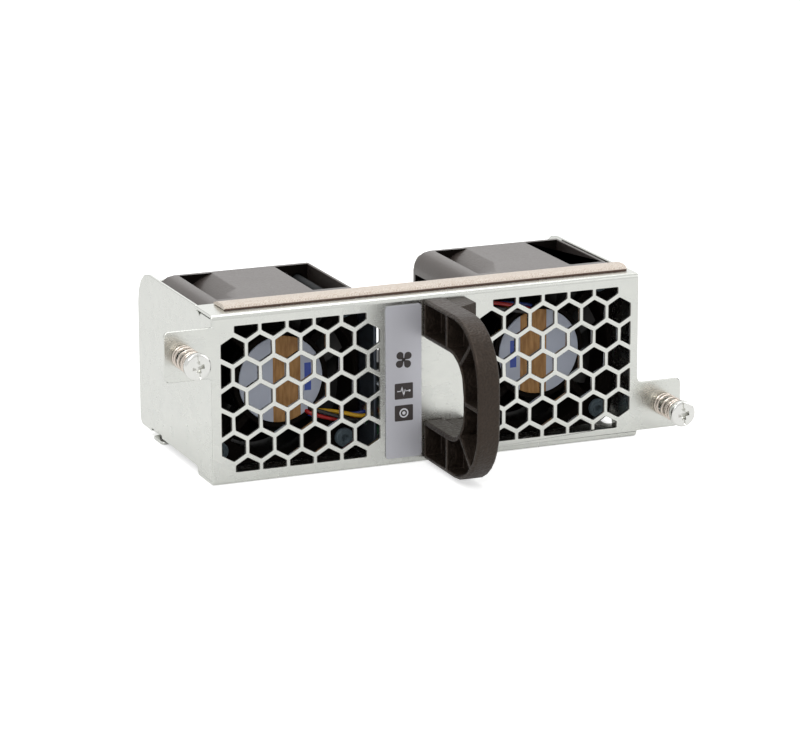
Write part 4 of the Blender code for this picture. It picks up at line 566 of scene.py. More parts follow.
class Bench:
    """Makes mesh objects and hands finished pieces to the frame."""

    def __init__(self, nodes: dict[str, bpy.types.Object]) -> None:
        """Keep the frame's nodes.

        Args:
            nodes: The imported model's objects by name.
        """
        self.nodes = nodes
        self.made: list[bpy.types.Object] = []

    def from_bmesh(self, name: str, bm: bmesh.types.BMesh, *finishes: Finish,
                   angle: float = 35.0) -> bpy.types.Object:
        """Make an object of a bmesh.

        Args:
            name: The object's name.
            bm: The mesh, which is freed.
            finishes: The materials, in slot order.
            angle: Edges sharper than this, in degrees, stay sharp.

        Returns:
            The new object, at the origin.
        """
        mesh = bpy.data.meshes.new(name)
        bm.to_mesh(mesh)
        bm.free()
        for finish in finishes:
            mesh.materials.append(finish.material())
        mesh.shade_smooth()
        mesh.set_sharp_from_angle(angle=math.radians(angle))
        return linked(name, mesh)

    def refined(self, node: str, finish: Finish, bevel: float, segments: int = 2,
                angle: float = 40.0, name: str = "", merge_flat: bool = True,
                merge_walls: bool = False) -> bpy.types.Object:
        """Copy a CAD node, clean it and soften its edges.

        Args:
            node: The CAD node's name.
            finish: The copy's finish.
            bevel: The edge radius.
            segments: How many faces round each edge.
            angle: Edges sharper than this, in degrees, are softened.
            name: The piece's name, or nothing for the node's name with a suffix.
            merge_flat: Whether to merge level faces. Plates with holes keep theirs.
            merge_walls: Whether to merge at least those that face along X.

        Returns:
            The softened copy.
        """
        bm = bmesh.new()
        bm.from_mesh(self.nodes[node].data)
        bmesh.ops.remove_doubles(bm, verts=bm.verts, dist=1e-6)
        almost_flat = math.radians(0.4)
        if merge_flat:
            bmesh.ops.dissolve_limit(bm, angle_limit=almost_flat, verts=bm.verts, edges=bm.edges)
        elif merge_walls:
            walls = [edge for edge in bm.edges if len(edge.link_faces) == 2
                     and all(abs(face.normal.x) > LEVEL for face in edge.link_faces)]
            bmesh.ops.dissolve_limit(bm, angle_limit=almost_flat, verts=[], edges=walls)
        bmesh.ops.recalc_face_normals(bm, faces=bm.faces)
        piece = self.from_bmesh(name or f"{node}_finished", bm, finish)
        soften = piece.modifiers.new("soft_edges", "BEVEL")
        soften.width = bevel
        soften.segments = segments
        soften.limit_method = "ANGLE"
        soften.angle_limit = math.radians(angle)
        soften.use_clamp_overlap = False
        soften.miter_outer = "MITER_ARC"
        even = piece.modifiers.new("even_shading", "WEIGHTED_NORMAL")
        even.keep_sharp = False
        return self.frozen(piece)

    def frozen(self, obj: bpy.types.Object, name: str = "") -> bpy.types.Object:
        """Turn an object's evaluated shape into a plain mesh.

        Args:
            obj: An object with modifiers, which is removed.
            name: The new object's name, or nothing to keep the old one.

        Returns:
            A new object with the plain mesh.
        """
        name = name or obj.name
        graph = bpy.context.evaluated_depsgraph_get()
        mesh = bpy.data.meshes.new_from_object(obj.evaluated_get(graph), depsgraph=graph)
        old = obj.data
        bpy.data.objects.remove(obj)
        if isinstance(old, bpy.types.Mesh):
            bpy.data.meshes.remove(old)
        mesh.name = name
        return linked(name, mesh)

    def dress(self, node: str, finish: Finish, slot: str, edge: float, body: str = "tray",
              **detail: object) -> None:
        """Refine a CAD node and let the copy ride in its place.

        Args:
            node: The CAD node's name.
            finish: The copy's finish.
            slot: The record's material slot.
            edge: The edge radius.
            body: The body's name.
            detail: Further arguments of refined.
        """
        self.place(self.refined(node, finish, edge, **detail), body, slot, node)

    def place(self, piece: bpy.types.Object, body: str, slot: str, *nodes: str) -> bpy.types.Object:
        """Let a finished piece ride on a body and stand for CAD nodes.

        Args:
            piece: The finished piece.
            body: The body's name.
            slot: The record's material slot; not used.
            nodes: The CAD nodes that it stands for.

        Returns:
            The piece.
        """
        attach(piece, body)
        if nodes:
            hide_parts(*nodes)
        self.made.append(piece)
        LOG.info("%s rides on %s, %d faces", piece.name, body, len(piece.data.polygons))
        return piece

    @staticmethod
    def skin(bm: bmesh.types.BMesh, rows: Sequence[Sequence[bmesh.types.BMVert]]) -> None:
        """Join closed loops of vertices into a capped skin.

        Args:
            bm: The mesh that holds them.
            rows: The loops, in order, with equal counts.
        """
        for first, second in zip(rows, rows[1:]):
            for k in range(len(first)):
                after = (k + 1) % len(first)
                bm.faces.new((first[k], first[after], second[after], second[k]))
        bm.faces.new(rows[0])
        bm.faces.new(rows[-1][::-1])
        bmesh.ops.recalc_face_normals(bm, faces=bm.faces)

    def block(self, name: str, size: Point, edge: float, finish: Finish,
              at: Point = (0.0, 0.0, 0.0)) -> bpy.types.Object:
        """A box with soft edges.

        Args:
            name: The object's name.
            size: Its size along each axis.
            edge: The edge radius.
            finish: The finish.
            at: Its middle.

        Returns:
            The box.
        """
        bm = bmesh.new()
        bmesh.ops.create_cube(bm, size=1.0)
        bmesh.ops.scale(bm, vec=size, verts=bm.verts)
        bmesh.ops.bevel(bm, geom=list(bm.edges), offset=edge, segments=2, affect="EDGES")
        bmesh.ops.translate(bm, verts=bm.verts, vec=at)
        return self.from_bmesh(name, bm, finish)

    def lathe(self, name: str, profile: Sequence[Flat], centre: Flat, finish: Finish, segments: int = 48,
              closed: bool = False) -> bpy.types.Object:
        """Turn a profile of (radius, y) round an axis along Y.

        Args:
            name: The object's name.
            profile: The outline's points.
            centre: The axis' x and z.
            finish: The finish.
            segments: How many steps round.
            closed: Whether the profile is a loop, as a ring's is.

        Returns:
            The turned object.
        """
        bm = bmesh.new()
        verts = [bm.verts.new((centre[0] + r, y, centre[1])) for r, y in profile]
        edges = [bm.edges.new(pair) for pair in zip(verts, verts[1:])]
        if closed:
            edges.append(bm.edges.new((verts[-1], verts[0])))
        bmesh.ops.spin(bm, geom=verts + edges, cent=(centre[0], 0.0, centre[1]), axis=(0, 1, 0),
                       dvec=(0, 0, 0), angle=2 * math.pi, steps=segments, use_merge=True)
        bmesh.ops.remove_doubles(bm, verts=bm.verts, dist=1e-7)
        bmesh.ops.recalc_face_normals(bm, faces=bm.faces)
        return self.from_bmesh(name, bm, finish)

    def prism(self, name: str, outline: Sequence[Flat], low: float, high: float, finish: Finish,
              bevel: float = 0.0) -> bpy.types.Object:
        """Extrude an (x, z) outline along Y, with softened edges.

        Args:
            name: The object's name.
            outline: The outline's points.
            low: Where it starts along Y.
            high: Where it ends along Y.
            finish: The finish.
            bevel: The edge radius, or nothing for sharp edges.

        Returns:
            The extruded object.
        """
        bm = bmesh.new()
        face = bm.faces.new([bm.verts.new((x, low, z)) for x, z in outline])
        grown = bmesh.ops.extrude_face_region(bm, geom=[face])
        moved = [g for g in grown["geom"] if isinstance(g, bmesh.types.BMVert)]
        bmesh.ops.translate(bm, verts=moved, vec=(0.0, high - low, 0.0))
        bmesh.ops.recalc_face_normals(bm, faces=bm.faces)
        if bevel > 0.0:
            bmesh.ops.bevel(bm, geom=list(bm.edges), offset=bevel, segments=2, affect="EDGES",
                            clamp_overlap=True)
        return self.from_bmesh(name, bm, finish)

    def carved(self, piece: bpy.types.Object, cutters: Sequence[bpy.types.Object]) -> bpy.types.Object:
        """Cut shapes out of a piece.

        Args:
            piece: The piece, which is replaced.
            cutters: The shapes to cut away, which are removed.

        Returns:
            The cut piece as a plain mesh.
        """
        for cutter in cutters:
            cut = piece.modifiers.new("cut", "BOOLEAN")
            cut.operation = "DIFFERENCE"
            cut.solver = "EXACT"
            cut.object = cutter
        carved = self.frozen(piece)
        for cutter in cutters:
            shape = cutter.data
            bpy.data.objects.remove(cutter)
            bpy.data.meshes.remove(shape)
        carved.data.shade_smooth()
        carved.data.set_sharp_from_angle(angle=math.radians(30.0))
        return carved

    def joined(self, name: str, parts: Iterable[bpy.types.Object]) -> bpy.types.Object:
        """Join objects into one, keeping their materials.

        Args:
            name: The new object's name.
            parts: The objects, which are removed.

        Returns:
            The joined object.
        """
        bm = bmesh.new()
        finishes: list[bpy.types.Material] = []
        meshes = []
        for part in parts:
            offset = {}
            for index, material in enumerate(part.data.materials):
                if material not in finishes:
                    finishes.append(material)
                offset[index] = finishes.index(material)
            before = len(bm.faces)
            bm.from_mesh(part.data)
            bm.faces.ensure_lookup_table()
            for face in bm.faces[before:]:
                face.material_index = offset.get(face.material_index, 0)
            meshes.append(part.data)
            bpy.data.objects.remove(part)
        mesh = bpy.data.meshes.new(name)
        bm.to_mesh(mesh)
        bm.free()
        for material in finishes:
            mesh.materials.append(material)
        for old in meshes:
            bpy.data.meshes.remove(old)
        return linked(name, mesh)


class Repeater:
    """Geometry Nodes trees for what repeats or follows a path."""

    def __init__(self, bench: Bench) -> None:
        """Keep the bench that plain meshes go to."""
        self.bench = bench
        self._trees: dict[str, bpy.types.NodeTree] = {}

    def _tree(self, name: str, inputs: Sequence[tuple[str, str, object]]) -> tuple[Graph, bpy.types.Node]:
        """Start a tree with a geometry input and named inputs."""
        tree = bpy.data.node_groups.new(name, "GeometryNodeTree")
        tree.interface.new_socket("Geometry", in_out="INPUT", socket_type="NodeSocketGeometry")
        for label, kind, value in inputs:
            socket = tree.interface.new_socket(label, in_out="INPUT", socket_type=kind)
            if value is not None:
                socket.default_value = value
        tree.interface.new_socket("Geometry", in_out="OUTPUT", socket_type="NodeSocketGeometry")
        self._trees[name] = tree
        graph = Graph(tree)
        return graph, graph.add("NodeGroupInput")

    def _end(self, graph: Graph, given: bpy.types.Node, geometry: Socket, smooth: bool) -> None:
        """Realize instances, set shading and material, and end the tree."""
        realized = graph.add("GeometryNodeRealizeInstances")
        graph.feed(realized.inputs[0], geometry)
        result = realized.outputs[0]
        if smooth:
            shade = graph.add("GeometryNodeSetShadeSmooth")
            graph.feed(shade.inputs["Geometry"], result)
            result = shade.outputs[0]
        dressed = graph.add("GeometryNodeSetMaterial")
        graph.feed(dressed.inputs["Geometry"], result)
        graph.feed(dressed.inputs["Material"], given.outputs["Material"])
        ending = graph.add("NodeGroupOutput")
        graph.feed(ending.inputs[0], dressed.outputs[0])

    def _run(self, obj: bpy.types.Object, tree: bpy.types.NodeTree, values: dict[str, object],
             name: str) -> bpy.types.Object:
        """Put a tree on an object, set its inputs and keep the plain mesh.

        Args:
            obj: The object that the tree works on, which is removed.
            tree: The geometry tree.
            values: Its inputs by name.
            name: The new object's name.

        Returns:
            The plain mesh object.
        """
        modifier = obj.modifiers.new("build", "NODES")
        modifier.node_group = tree
        for item in tree.interface.items_tree:
            if item.item_type == "SOCKET" and item.in_out == "INPUT" and item.name in values:
                modifier[item.identifier] = values[item.name]
        return self.bench.frozen(obj, name)

    def around(self, part: bpy.types.Object, count: int, centre: Point, finish: Finish,
               name: str) -> bpy.types.Object:
        """Repeat a part made at the origin round an axis along Y.

        Args:
            part: The part, which is removed.
            count: How many.
            centre: A point on the axis.
            finish: The finish.
            name: The new object's name.

        Returns:
            The ring of parts as one mesh.
        """
        tree = self._trees.get("around_axis")
        if tree is None:
            graph, given = self._tree("around_axis", [
                ("Count", "NodeSocketInt", 4), ("Centre", "NodeSocketVector", (0.0, 0.0, 0.0)),
                ("Material", "NodeSocketMaterial", None)])
            line = graph.add("GeometryNodeMeshLine")
            graph.feed(line.inputs["Count"], given.outputs["Count"])
            line.inputs["Offset"].default_value = (0.0, 0.0, 0.0)
            step = graph.maths("DIVIDE", 2 * math.pi, given.outputs["Count"])
            angle = graph.maths("MULTIPLY", graph.add("GeometryNodeInputIndex").outputs[0], step)
            euler = graph.add("ShaderNodeCombineXYZ")
            graph.feed(euler.inputs["Y"], angle)
            turn = graph.add("FunctionNodeEulerToRotation")
            graph.feed(turn.inputs[0], euler.outputs[0])
            copies = graph.add("GeometryNodeInstanceOnPoints")
            graph.feed(copies.inputs["Points"], line.outputs[0])
            graph.feed(copies.inputs["Instance"], given.outputs["Geometry"])
            graph.feed(copies.inputs["Rotation"], turn.outputs[0])
            shift = graph.add("GeometryNodeTransform")
            graph.feed(shift.inputs["Geometry"], copies.outputs[0])
            graph.feed(shift.inputs["Translation"], given.outputs["Centre"])
            self._end(graph, given, shift.outputs[0], False)
            tree = graph.tree
        values = {"Count": count, "Centre": Vector(centre), "Material": finish.material()}
        return self._run(part, tree, values, name)

    def along(self, part: bpy.types.Object, count: int, start: Point, step: Point, finish: Finish,
              name: str) -> bpy.types.Object:
        """Repeat a part made at the origin in a row.

        Args:
            part: The part, which is removed.
            count: How many.
            start: The first one's place.
            step: From one to the next.
            finish: The finish.
            name: The new object's name.

        Returns:
            The row as one mesh.
        """
        tree = self._trees.get("along_row")
        if tree is None:
            graph, given = self._tree("along_row", [
                ("Count", "NodeSocketInt", 4), ("Start", "NodeSocketVector", (0.0, 0.0, 0.0)),
                ("Step", "NodeSocketVector", (0.0, 0.0, 0.0)), ("Material", "NodeSocketMaterial", None)])
            line = graph.add("GeometryNodeMeshLine")
            graph.feed(line.inputs["Count"], given.outputs["Count"])
            graph.feed(line.inputs["Start Location"], given.outputs["Start"])
            graph.feed(line.inputs["Offset"], given.outputs["Step"])
            copies = graph.add("GeometryNodeInstanceOnPoints")
            graph.feed(copies.inputs["Points"], line.outputs[0])
            graph.feed(copies.inputs["Instance"], given.outputs["Geometry"])
            self._end(graph, given, copies.outputs[0], False)
            tree = graph.tree
        values = {"Count": count, "Start": Vector(start), "Step": Vector(step),
                  "Material": finish.material()}
        return self._run(part, tree, values, name)

    def coil(self, turns: float, radius: float, wire: float, start: Point, length: float,
             finish: Finish, name: str) -> bpy.types.Object:
        """Wind a spring along -Y whose first and last turns lie closed.

        Args:
            turns: How many turns.
            radius: The coil's mean radius.
            wire: The wire's radius.
            start: The centre of the first turn.
            length: From the first turn's centre to the last one's.
            finish: The finish.
            name: The new object's name.

        Returns:
            The spring as one mesh.
        """
        tree = self._trees.get("wound_spring")
        if tree is None:
            graph, given = self._tree("wound_spring", [
                ("Turns", "NodeSocketFloat", 5.0), ("Radius", "NodeSocketFloat", 0.003),
                ("Wire", "NodeSocketFloat", 0.0003), ("Length", "NodeSocketFloat", 0.01),
                ("Start", "NodeSocketVector", (0.0, 0.0, 0.0)), ("Material", "NodeSocketMaterial", None)])
            spiral = graph.add("GeometryNodeCurveSpiral")
            spiral.inputs["Resolution"].default_value = 40
            graph.feed(spiral.inputs["Rotations"], given.outputs["Turns"])
            graph.feed(spiral.inputs["Start Radius"], given.outputs["Radius"])
            graph.feed(spiral.inputs["End Radius"], given.outputs["Radius"])
            graph.feed(spiral.inputs["Height"], given.outputs["Length"])
            split = graph.add("ShaderNodeSeparateXYZ")
            graph.feed(split.inputs[0], graph.add("GeometryNodeInputPosition").outputs[0])
            share = graph.maths("DIVIDE", split.outputs["Z"], given.outputs["Length"])
            lean = graph.maths("MULTIPLY", share, 0.12)
            eased = graph.add("ShaderNodeMapRange", interpolation_type="SMOOTHSTEP")
            graph.feed(eased.inputs["Value"], share)
            eased.inputs["From Min"].default_value = 0.1
            eased.inputs["From Max"].default_value = 0.9
            eased.inputs["To Max"].default_value = 0.88
            along = graph.maths("MULTIPLY", graph.maths("ADD", lean, eased.outputs[0]),
                                given.outputs["Length"])
            spot = graph.add("ShaderNodeCombineXYZ")
            graph.feed(spot.inputs["X"], split.outputs["X"])
            graph.feed(spot.inputs["Y"], graph.maths("MULTIPLY", along, -1.0))
            graph.feed(spot.inputs["Z"], split.outputs["Y"])
            moved = graph.add("GeometryNodeSetPosition")
            graph.feed(moved.inputs["Geometry"], spiral.outputs[0])
            graph.feed(moved.inputs["Position"], spot.outputs[0])
            shift = graph.add("GeometryNodeTransform")
            graph.feed(shift.inputs["Geometry"], moved.outputs[0])
            graph.feed(shift.inputs["Translation"], given.outputs["Start"])
            self._sweep(graph, given, shift.outputs[0], given.outputs["Wire"], 12)
            tree = graph.tree
        values = {"Turns": turns, "Radius": radius, "Wire": wire, "Length": length,
                  "Start": Vector(start), "Material": finish.material()}
        return self._run(linked(name + "_holder", bpy.data.meshes.new(name)), tree, values, name)

    def _sweep(self, graph: Graph, given: bpy.types.Node, path: Socket, radius: Socket,
               sides: int) -> None:
        """Run a round section along a curve and end the tree."""
        ring = graph.add("GeometryNodeCurvePrimitiveCircle")
        ring.inputs["Resolution"].default_value = sides
        graph.feed(ring.inputs["Radius"], radius)
        tube = graph.add("GeometryNodeCurveToMesh")
        graph.feed(tube.inputs["Curve"], path)
        graph.feed(tube.inputs["Profile Curve"], ring.outputs[0])
        tube.inputs["Fill Caps"].default_value = True
        self._end(graph, given, tube.outputs[0], True)

    def wire(self, points: Sequence[Vector], radius: float, finish: Finish, name: str) -> bpy.types.Object:
        """Lay a round wire along points.

        Args:
            points: The wire's own points.
            radius: The wire's radius.
            finish: The finish.
            name: The new object's name.

        Returns:
            The wire as one mesh.
        """
        tree = self._trees.get("laid_wire")
        if tree is None:
            graph, given = self._tree("laid_wire", [
                ("Radius", "NodeSocketFloat", 0.0005), ("Steps", "NodeSocketInt", 60),
                ("Material", "NodeSocketMaterial", None)])
            even = graph.add("GeometryNodeResampleCurve")
            graph.feed(even.inputs["Curve"], given.outputs["Geometry"])
            graph.feed(even.inputs["Count"], given.outputs["Steps"])
            self._sweep(graph, given, even.outputs[0], given.outputs["Radius"], 14)
            tree = graph.tree
        curve = bpy.data.curves.new(name, "CURVE")
        curve.dimensions = "3D"
        spline = curve.splines.new("POLY")
        spline.points.add(len(points) - 1)
        for spot, point in zip(spline.points, points):
            spot.co = (*point, 1.0)
        values = {"Radius": radius, "Steps": 70, "Material": finish.material()}
        return self._run(linked(name + "_path", curve), tree, values, name)


def circle(x: float, z: float, radius: float, count: int = 32, start: float = 0.0,
           sweep: float = 2 * math.pi) -> list[Flat]:
    """Points round a circle or along an arc.

    Args:
        x: The centre's x.
        z: The centre's z.
        radius: The radius.
        count: How many steps.
        start: The first angle.
        sweep: The angle that the points cover.

    Returns:
        The points, without the last one on a whole circle.
    """
    whole = abs(abs(sweep) - 2 * math.pi) < 1e-9
    steps = range(count if whole else count + 1)
    angles = [start + sweep * i / count for i in steps]
    return [(x + radius * math.cos(angle), z + radius * math.sin(angle)) for angle in angles]


def rounded_box(x: float, z: float, width: float, height: float, corner: float, steps: int = 5) -> list[Flat]:
    """A rectangle with round corners.

    Args:
        x: The centre's x.
        z: The centre's z.
        width: Its size along X.
        height: Its size along Z.
        corner: The corner radius.
        steps: How many steps round each corner.

    Returns:
        The outline's points.
    """
    outline: list[Flat] = []
    for i, (sx, sz) in enumerate(((1, 1), (-1, 1), (-1, -1), (1, -1))):
        outline += circle(x + sx * (width / 2 - corner), z + sz * (height / 2 - corner), corner, steps,
                          i * QUARTER, QUARTER)
    return outline


@dataclass
class TraySheet:
    """The folded sheet, the rear frame, the centre bracket and their rivets."""

    bench: Bench
    punched_edge: float = 0.2 * MM
    folded_edge: float = 0.16 * MM
    sheet: float = 0.8 * MM
    grille_half: Flat = (54.0 * MM, 18.6 * MM)
    tilt: Flat = (0.12, 0.97)

    def build(self) -> None:
        """Build the sheet pieces."""
        tray = self.bench.refined("tray_body", ZINC, self.punched_edge, 2, 30.0, "tray_sheet", False, True)
        self._bare_and_shaded_cuts(tray)
        self._level(tray)
        self.bench.place(tray, "tray", "zinc", "tray_body")
        # The centre bracket takes the darker zinc copy: painted shade.
        for node, finish, slot in (("rear_frame", ZINC, "zinc"), ("centre_bracket", ZINC_PAINTED_SHADE, "dark_zinc")):
            self.bench.dress(node, finish, slot, self.folded_edge, angle=30.0, merge_flat=False)
        for node in ("bracket_rivet_front", "bracket_rivet_rear", "frame_rivet_left", "frame_rivet_right"):
            self._rivet(node)

    def _bare_and_shaded_cuts(self, tray: bpy.types.Object) -> None:
        """Give the rounded front edges of the punched holes in the faceplate a darker grey: partly bare
        steel, partly painted shade of the rolled edge.
        """
        tray.data.materials.append(CUT_EDGE_AND_SHADE.material())
        half_wide, half_high = self.grille_half
        upright, level = self.tilt
        for polygon in tray.data.polygons:
            x, y, z = polygon.center
            inside = abs(x) < half_wide and abs(z) < half_high and 0.0 < y < self.sheet / 2
            if inside and upright < abs(polygon.normal.y) < level:
                polygon.material_index = 1

    @staticmethod
    def _level(tray: bpy.types.Object) -> None:
        """Keep the sheet in its CAD box and shade its level faces by their own normals.

        Args:
            tray: The sheet, whose soft edges would else shade the long thin faces beside them.
        """
        mesh = tray.data
        floor_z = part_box("tray_body")[0].z
        for vertex in mesh.vertices:
            vertex.co.z = max(vertex.co.z, floor_z)
        normals = [Vector(corner.vector) for corner in mesh.corner_normals]
        for polygon in mesh.polygons:
            if max(abs(part) for part in polygon.normal) > LEVEL:
                for index in polygon.loop_indices:
                    normals[index] = polygon.normal.copy()
        mesh.normals_split_custom_set(normals)

    def _rivet(self, node: str) -> None:
        """A rivet with a domed head and a clenched tail."""
        low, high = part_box(node)
        centre = (low + high) / 2
        radius = (high.x - low.x) / 2
        shank = radius * 0.55
        top = high.z
        chamfer, head, rise, steps = 0.15 * MM, 0.8 * MM, 0.75 * MM, 8
        profile = [(0.0, low.z), (shank * 0.8, low.z), (shank, low.z + chamfer), (shank, top - head)]
        for angle in (QUARTER * i / steps for i in range(steps + 1)):
            profile.append((radius * math.cos(angle), top - rise + rise * math.sin(angle)))
        rivet = self.bench.lathe(f"{node}_finished", profile, (0.0, 0.0), NICKEL, 28)
        rivet.data.transform(Matrix.Rotation(QUARTER, 4, "X"))
        rivet.data.transform(Matrix.Translation((centre.x, centre.y, 0.0)))
        self.bench.place(rivet, "tray", "steel", node)


@dataclass
class Gasket:
    """The crowned gasket on the lip: a cloth sleeve over foam, with a thin dark strip along its front foot.
    """

    bench: Bench
    steps_along: int = 150
    cloth: float = 0.2 * MM
    wave: float = 0.05 * MM

    def build(self) -> None:
        """Build the sleeve, the foam and the dark strip."""
        low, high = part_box("gasket_cloth")
        inner_low, inner_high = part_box("gasket_foam")
        self.bench.place(self._bar("gasket_sleeve", low, high, 0.0, CLOTH), "tray", "cloth", "gasket_cloth")
        foam = self._bar("gasket_core", inner_low, inner_high, self.cloth, FOAM)
        self.bench.place(foam, "tray", "foam", "gasket_foam")
        self.bench.place(self._strip(low, high), "tray", "cloth")

    @staticmethod
    def _section(low: Vector, high: Vector, shrink: float) -> list[Flat]:
        """The section's outline, (y, z): steep in front, crowned, then a long slope."""
        depth, rise = high.y - low.y - 2 * shrink, high.z - low.z - shrink
        front = low.y + shrink
        crown = [(0.0, 0.0), (0.01, 0.34), (0.05, 0.66), (0.12, 0.86), (0.22, 0.97), (0.34, 1.0),
                 (0.5, 0.96), (0.64, 0.86), (0.78, 0.69), (0.9, 0.46), (0.97, 0.24), (1.0, 0.0)]
        return [(front + depth * u, low.z + rise * v) for u, v in crown]

    def _bar(self, name: str, low: Vector, high: Vector, shrink: float, finish: Finish) -> bpy.types.Object:
        """Run the section along X with a slight hand-laid wave in its height.

        Args:
            name: The object's name.
            low: The bar's lowest corner.
            high: Its highest corner.
            shrink: How far the section lies within the box.
            finish: The finish.

        Returns:
            The bar.
        """
        section = self._section(low, high, shrink)
        bm = bmesh.new()
        rings = []
        back = 0.4 * MM if shrink else 0.0
        slow, fast, shift = 41.0, 97.0, 1.3
        top = high.z - low.z
        for share in (i / self.steps_along for i in range(self.steps_along + 1)):
            x = low.x + back / 2 + (high.x - low.x - back) * share
            sag = self.wave * (0.5 + 0.3 * math.sin(share * slow) + 0.2 * math.sin(share * fast + shift))
            rings.append([bm.verts.new((x, y, z - sag * max(0.0, (z - low.z) / top))) for y, z in section])
        self.bench.skin(bm, rings)
        return self.bench.from_bmesh(name, bm, finish, angle=60.0)

    def _strip(self, low: Vector, high: Vector) -> bpy.types.Object:
        """A thin dark strip that shows under the sleeve's front."""
        width, thick = 0.5 * MM, 0.36 * MM
        middle = ((low.x + high.x) / 2, low.y + width * 0.22, low.z + thick * 0.14)
        return self.bench.block("gasket_dark_strip", (high.x - low.x, width, thick), thick * 0.3,
                                GASKET_DARK_STRIP, middle)


@dataclass
class LabelPlate:
    """The film beside the handle: bare apart from three generic symbols."""

    bench: Bench
    repeater: Repeater
    fan_z: float = 5.35 * MM
    windows: tuple[float, float] = (-2.3 * MM, -7.7 * MM)
    window_width: float = 4.7 * MM
    window_height: float = 3.9 * MM
    ink: float = 0.03 * MM
    dot: float = 0.42 * MM

    def build(self) -> None:
        """Build the film and its printed symbols."""
        low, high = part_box("label_plate")
        centre = (low + high) / 2
        outline = rounded_box(centre.x, centre.z, high.x - low.x, high.z - low.z, 0.7 * MM)
        film = self.bench.prism("label_film", outline, low.y + self.ink, high.y, LABEL_FILM, 0.06 * MM)
        self.bench.place(film, "tray", "label", "label_plate")
        front = low.y + self.ink
        parts = [self._fan_symbol(centre.x, front)]
        for z in self.windows:
            box = rounded_box(centre.x, z, self.window_width, self.window_height, 0.25 * MM)
            parts.append(self._print("window_print", box, front))
        pulse_z, locator_z = self.windows
        parts += [self._pulse(centre.x, pulse_z, front), self._locator(centre.x, locator_z, front)]
        self.bench.place(self.bench.joined("label_symbols", parts), "tray", "label")

    def _print(self, name: str, outline: Sequence[Flat], front: float) -> bpy.types.Object:
        """A patch of dark ink on the film."""
        return self.bench.prism(name, outline, front - self.ink * 0.5, front + self.ink, PRINT_DARK)

    def _fan_symbol(self, x: float, front: float) -> bpy.types.Object:
        """Four round petals that lean one way, with narrow gaps, round a small hub."""
        edge = [(0.2, -0.12), (0.7, -0.5), (1.2, -0.86), (1.75, -0.88), (2.2, -0.56), (2.36, 0.0),
                (2.2, 0.52), (1.75, 0.88), (1.2, 0.9), (0.75, 0.62), (0.4, 0.3), (0.2, 0.2)]
        lean = math.radians(41.0)
        cos, sin = math.cos(lean), math.sin(lean)
        turned = [Vector((u * cos - v * sin, 0.0, u * sin + v * cos)) for u, v in edge]
        outline = [(point.x * MM, point.z * MM) for point in smooth_route(turned, 3)]
        petal = self._print("petal", outline, front)
        petals = self.repeater.around(petal, 4, (x, 0.0, self.fan_z), PRINT_DARK, "fan_petals")
        hub = self._print("fan_symbol_hub", circle(x, self.fan_z, self.dot, 20), front)
        return self.bench.joined("fan_symbol", [petals, hub])

    def _pulse(self, x: float, z: float, front: float) -> bpy.types.Object:
        """A pulse line with a dot at its end."""
        half = 0.11 * MM
        line = [(-1.6, 0.0), (-0.75, 0.0), (-0.45, 0.95), (-0.05, -1.15), (0.3, 0.35), (0.5, 0.0), (1.2, 0.0)]
        points = [Vector((x + u * MM, front - self.ink, z + v * MM)) for u, v in line]
        bm = bmesh.new()
        for first, second in zip(points, points[1:]):
            along = (second - first).normalized()
            across = Vector((-along.z, 0.0, along.x)) * half
            corners = [first - across - along * half, second - across + along * half,
                       second + across + along * half, first + across - along * half]
            bottom = [bm.verts.new(c) for c in corners]
            top = [bm.verts.new(c + Vector((0.0, self.ink, 0.0))) for c in corners]
            bm.faces.new(bottom)
            bm.faces.new(top[::-1])
            for k in range(4):
                bm.faces.new((bottom[k], top[k], top[(k + 1) % 4], bottom[(k + 1) % 4]))
        bmesh.ops.recalc_face_normals(bm, faces=bm.faces)
        stroke = self.bench.from_bmesh("pulse_line", bm, PRINT_PALE)
        dot = self.bench.prism("pulse_dot", circle(x + 1.45 * MM, z, 0.28 * MM, 16), front - self.ink,
                               front, PRINT_PALE)
        return self.bench.joined("pulse_symbol", [stroke, dot])

    def _locator(self, x: float, z: float, front: float) -> bpy.types.Object:
        """A ring round a dot, for the tray's locator lamp."""
        outer, inner, raised = 1.15 * MM, 0.82 * MM, front - self.ink
        section = [(inner, raised), (outer, raised), (outer, front), (inner, front)]
        ring = self.bench.lathe("locator_ring", section, (x, z), PRINT_PALE, 36, True)
        dot = self.bench.prism("locator_dot", circle(x, z, self.dot, 20), raised, front, PRINT_PALE)
        return self.bench.joined("locator_symbol", [ring, dot])


@dataclass
class PullHandle:
    """The moulded handle and its two screws."""

    bench: Bench
    edge: float = 0.28 * MM

    def build(self) -> None:
        """Build the handle with soft moulded edges, and the screws."""
        handle = self.bench.refined("handle", NYLON, self.edge, 3, 40.0, "pull_handle", False)
        self.bench.place(handle, "tray", "black_nylon", "handle")
        for word in ("top", "bottom"):
            self.bench.dress(f"handle_screw_{word}", NICKEL, "steel", 0.15 * MM)


